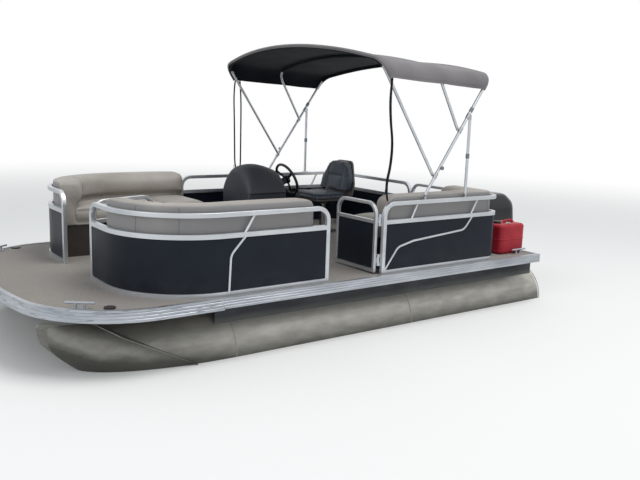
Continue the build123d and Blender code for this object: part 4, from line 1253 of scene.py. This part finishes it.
# Helm console: one moulding with a domed hood, and a dash behind the wheel
CONSOLE_BASE, CONSOLE_SHOULDER = 0.4403, 0.8903
CONSOLE_Y, CONSOLE_HALF, CONSOLE_RISE = -0.670, 0.245, 0.252
CONSOLE_AFT_X, CONSOLE_FRONT_X = -0.560, -0.140
HOOD_HALF = 0.260
# place along X, share of the half width and share of the rise
HOOD_ROWS = [
    (-0.560, 0.980, 0.740), (-0.500, 0.986, 0.835), (-0.430, 0.993, 0.925),
    (-0.360, 0.999, 0.985), (-0.310, 1.000, 1.000), (-0.255, 0.998, 0.990),
    (-0.200, 0.990, 0.950), (-0.165, 0.972, 0.885), (-0.140, 0.945, 0.800),
]
MOULD_EDGE = 0.030
EDGE_STEPS = [0, 0.002, 0.006, 0.012, 0.020]
WHEEL_TILT = math.radians(25)
WHEEL_HUB = Vector((-0.720, -0.670, 0.985))
WHEEL_AXIS = Vector((-math.cos(WHEEL_TILT), 0, math.sin(WHEEL_TILT)))
COLUMN = [(0.026, 0.022), (0.034, 0.030), (0.034, 0.120), (0.046, 0.135), (0.048, 0.230)]
# the dash: corners of its frame, its dials by radius, and its switches
DASH_CORNERS = [(-0.150, 0.920), (0.150, 0.920), (0.085, 1.035), (-0.085, 1.035), (-0.150, 0.920)]
DIALS = ((0.052, 0.985, 0.034), (-0.052, 0.985, 0.034), (0, 1.018, 0.016))
SWITCHES_Y, SWITCHES_Z = (-0.122, -0.098, 0.098, 0.122), 0.938
SWITCH_RINGS = ((0, 0.009, 0.013), (0.004, 0.009, 0.013), (0.008, 0.006, 0.010))


def console_ring(x, inset):
    places, widths, rises = zip(*HOOD_ROWS)
    wide = HOOD_HALF * np.interp(x, places, widths)
    rise = CONSOLE_RISE * np.interp(x, places, rises)
    side = [(CONSOLE_HALF, z) for z in np.linspace(CONSOLE_BASE, CONSOLE_SHOULDER - 0.006, 14)]
    side += [(CONSOLE_HALF - 0.0035, CONSOLE_SHOULDER - 0.003), (wide - 0.0035, CONSOLE_SHOULDER + 0.002)]
    hood = []
    for turn in np.linspace(-math.pi / 2, math.pi / 2, 43)[1:-1]:
        hood.append((wide * math.sin(turn), CONSOLE_SHOULDER + rise * math.cos(turn) ** 1.6))
    outline = [(-y, z) for y, z in side] + hood + side[::-1]
    high = CONSOLE_SHOULDER + rise
    points = []
    for y, z in outline:
        y *= 1 - inset / CONSOLE_HALF
        z -= inset * (z - CONSOLE_BASE) / (high - CONSOLE_BASE)
        points.append((x, CONSOLE_Y + y, z))
    return points


def mould_console():
    shape = bmesh.new()
    middle = np.linspace(CONSOLE_AFT_X + MOULD_EDGE, CONSOLE_FRONT_X - MOULD_EDGE, 30)
    rings = []
    for x in end_runs(CONSOLE_AFT_X, CONSOLE_FRONT_X, EDGE_STEPS, middle):
        inset = round_inset(MOULD_EDGE, min(x - CONSOLE_AFT_X, CONSOLE_FRONT_X - x))
        rings.append(console_ring(float(x), inset))
    skinned(shape, rings)
    turned(shape, WHEEL_HUB, -WHEEL_AXIS, COLUMN)
    console = placed("helm_console_moulding", shape, "console_plastic", "boat", 35)
    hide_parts("helm_console")


def fit_dash():
    dash = bmesh.new()
    dials = bmesh.new()
    x = CONSOLE_AFT_X - 0.001
    aft = (-1, 0, 0)
    corners = [Vector((x, CONSOLE_Y + y, z)) for y, z in DASH_CORNERS]
    for first, last in zip(corners, corners[1:]):
        swept(dash, [first, (first + last) / 2, last], ring(0.004, 8), (1, 0, 0))
    for y, z, radius in DIALS:
        place = (x, CONSOLE_Y + y, z)
        bezel = [(radius + 0.006, 0), (radius + 0.005, 0.005), (radius, 0.007), (radius - 0.002, 0.003)]
        turned(dash, place, aft, bezel)
        turned(dials, place, aft, [(radius - 0.001, 0.001), (radius - 0.002, 0.0045), (radius * 0.5, 0.0055)])
    for y in SWITCHES_Y:
        place = Vector((x, CONSOLE_Y + y, SWITCHES_Z))
        rings = []
        for out, w, h in SWITCH_RINGS:
            rings.append([place + Vector((-out, a, b)) for a, b in ((-w, -h), (w, -h), (w, h), (-w, h))])
        skinned(dash, rings)
    placed("helm_dash", dash, "control_black", "boat")
    placed("helm_dials", dials, "dial", "boat")


# Outboard cowl: height, half length, half width, shift forward
COWL_ROWS = [
    (0.4003, 0.296, 0.161, 0), (0.404, 0.300, 0.165, 0), (0.440, 0.3055, 0.1695, 0),
    (0.441, 0.3035, 0.1675, 0), (0.447, 0.3035, 0.1675, 0), (0.448, 0.3065, 0.1705, 0),
    (0.500, 0.3135, 0.1765, 0), (0.560, 0.3205, 0.1830, 0), (0.620, 0.3175, 0.1805, 0.003),
    (0.680, 0.3145, 0.1780, 0.006), (0.725, 0.3090, 0.1735, 0.009), (0.755, 0.2985, 0.1650, 0.011),
    (0.785, 0.2760, 0.1500, 0.014), (0.808, 0.2570, 0.1375, 0.016), (0.824, 0.2380, 0.1240, 0.018),
    (0.834, 0.2130, 0.1080, 0.019), (0.839, 0.1800, 0.0880, 0.020), (0.8415, 0.1300, 0.0600, 0.020),
    (0.842, 0.0600, 0.0250, 0.020),
]
COWL_X = -2.865
COWL_CORNER = 0.110


def close_cowl():
    shape = bmesh.new()
    rings = []
    for z, half_x, half_y, shift in COWL_ROWS:
        outline = rounded_frame(half_x, half_y, min(COWL_CORNER, half_y * 0.8), 96)
        rings.append([(COWL_X + shift + x, y, z) for x, y in outline])
    skinned(shape, rings)
    cowl = placed("outboard_cowl_shell", shape, "motor_paint", "outboard", 60)
    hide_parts("outboard_cowl")


def rounded_frame(half_x, half_y, corner, count):
    """Evenly spaced points round a rounded rectangle, starting mid-side."""
    corners = [(half_x, half_y, 0), (-half_x, half_y, 0), (-half_x, -half_y, 0), (half_x, -half_y, 0)]
    path = [(half_x, 0, 0)] + corners + [(half_x, 0, 0)]
    line = rounded(path, [corner] * 4, 0.006)
    return [(point.x, point.y) for point in spaced(line, count + 1)[:-1]]


# Fuel tank: blow-moulded can with fine ribs, a waist line, a cap and a hose fitting
TANK_LOW, TANK_HIGH = (-2.202, 0.815, 0.4403), (-1.868, 1.065, 0.708)
TANK_CORNER = 0.045
RIB_PITCH, RIB_DEPTH, RIB_STEP = 0.0125, 0.0010, 0.0022
WAIST_Z = 0.572
GRIP = ((-2.165, 0.700), (-2.160, 0.716), (-2.130, 0.724), (-2.070, 0.724), (-2.040, 0.716), (-2.035, 0.700))
CAP = [(0.040, 0), (0.040, 0.004), (0.036, 0.005), (0.036, 0.020), (0.032, 0.023), (0.012, 0.0235)]
VALVE = [(0.016, 0), (0.016, 0.006), (0.010, 0.008), (0.010, 0.018), (0.004, 0.019)]
HOSE_END = [(0.006, 0), (0.006, 0.022), (0.007, 0.024), (0.005, 0.034)]


def mould_tank():
    (low_x, low_y, foot), (high_x, high_y, top) = TANK_LOW, TANK_HIGH
    middle_x, middle_y = (low_x + high_x) / 2, (low_y + high_y) / 2
    half_x, half_y = (high_x - low_x) / 2, (high_y - low_y) / 2
    shape = bmesh.new()
    rings = []
    middle = [*np.arange(foot + MOULD_EDGE, top - MOULD_EDGE, RIB_STEP), top - MOULD_EDGE]
    for z in end_runs(foot, top, EDGE_STEPS, middle):
        inset = round_inset(MOULD_EDGE, min(z - foot, top - z))
        if foot + 0.034 < z < top - 0.034:
            inset += RIB_DEPTH * (1 - math.cos(z * 2 * math.pi / RIB_PITCH))
        if abs(z - WAIST_Z) < 0.004:
            inset -= 0.0030
        outline = rounded_frame(half_x - inset, half_y - inset, TANK_CORNER - min(inset, 0.02), 72)
        rings.append([(middle_x + x, middle_y + y, float(z)) for x, y in outline])
    skinned(shape, rings)
    grip = smooth_line([(x, middle_y, z) for x, z in GRIP], 24)
    swept(shape, grip, ring(0.012, 10), (0, 1, 0))
    tank = placed("fuel_tank_can", shape, "tank_red", "boat", 40)
    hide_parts("fuel_tank")
    cap = bmesh.new()
    turned(cap, (-1.950, 0.940, 0.704), (0, 0, 1), CAP, 28)
    placed("fuel_tank_cap", cap, "control_black", "boat")
    fitting = bmesh.new()
    turned(fitting, (-2.000, 1.010, 0.704), (0, 0, 1), VALVE, 16)
    turned(fitting, (-2.000, 1.010, 0.716), (0, 1, 0), HOSE_END, 12)
    placed("fuel_tank_fitting", fitting, "fitting_plastic", "boat")


# Hull welds, and the bimini's knobs and collars
TUBE_Y = 0.850
WELD_RING = 0.2915
WELDS_X = (0.870, -0.750, -2.380)
KNOB = [(0.010, 0), (0.010, 0.006), (0.016, 0.008), (0.016, 0.018), (0.012, 0.020)]
COLLAR = [(0.0122, 0), (0.0155, 0.002), (0.0155, 0.038), (0.0122, 0.040)]
HINGE_COLLAR = [(0.0125, 0), (0.0160, 0.002), (0.0160, 0.038), (0.0125, 0.040)]
KNOB_X, KNOB_Z = -0.961, 1.246
COLLAR_X, COLLAR_Z = -1.2695, 1.317
HINGE_Z = 1.708


def weld_hull():
    shape = bmesh.new()
    turns = np.linspace(0, 2 * math.pi, 97)[:-1]
    for sign in SIDES.values():
        for x in WELDS_X:
            circle = [(sign * TUBE_Y + WELD_RING * math.cos(t), WELD_RING * math.sin(t)) for t in turns]
            swept(shape, [Vector((x, y, z)) for y, z in circle], ring(0.0035, 6), (1, 0, 0), True)
    placed("hull_weld_beads", shape, "weld", "boat")


def fit_bimini():
    shape = bmesh.new()
    (foot_x, foot_z), (top_x, top_z) = MAIN_BOW
    lean = Vector((top_x - foot_x, 0, top_z - foot_z)).normalized()
    for sign in SIDES.values():
        y = sign * FENCE_Y
        hinge = Vector((main_bow_x(HINGE_Z), y, HINGE_Z)) - lean * 0.020
        turned(shape, (KNOB_X, y + sign * 0.012, KNOB_Z), (0, sign, 0), KNOB, 14)
        turned(shape, (COLLAR_X, y, COLLAR_Z), (0, 0, 1), COLLAR, 16)
        turned(shape, hinge, lean, HINGE_COLLAR, 16)
    placed("bimini_knobs", shape, "clamp", "boat")


light_scene()
place_camera()
lay_floor()
dress_nodes()
upholster_couches()
upholster_chair()
hang_canopy()
sleeve_bows()
hang_straps()
screw_fences()
mould_console()
fit_dash()
close_cowl()
mould_tank()
weld_hull()
fit_bimini()
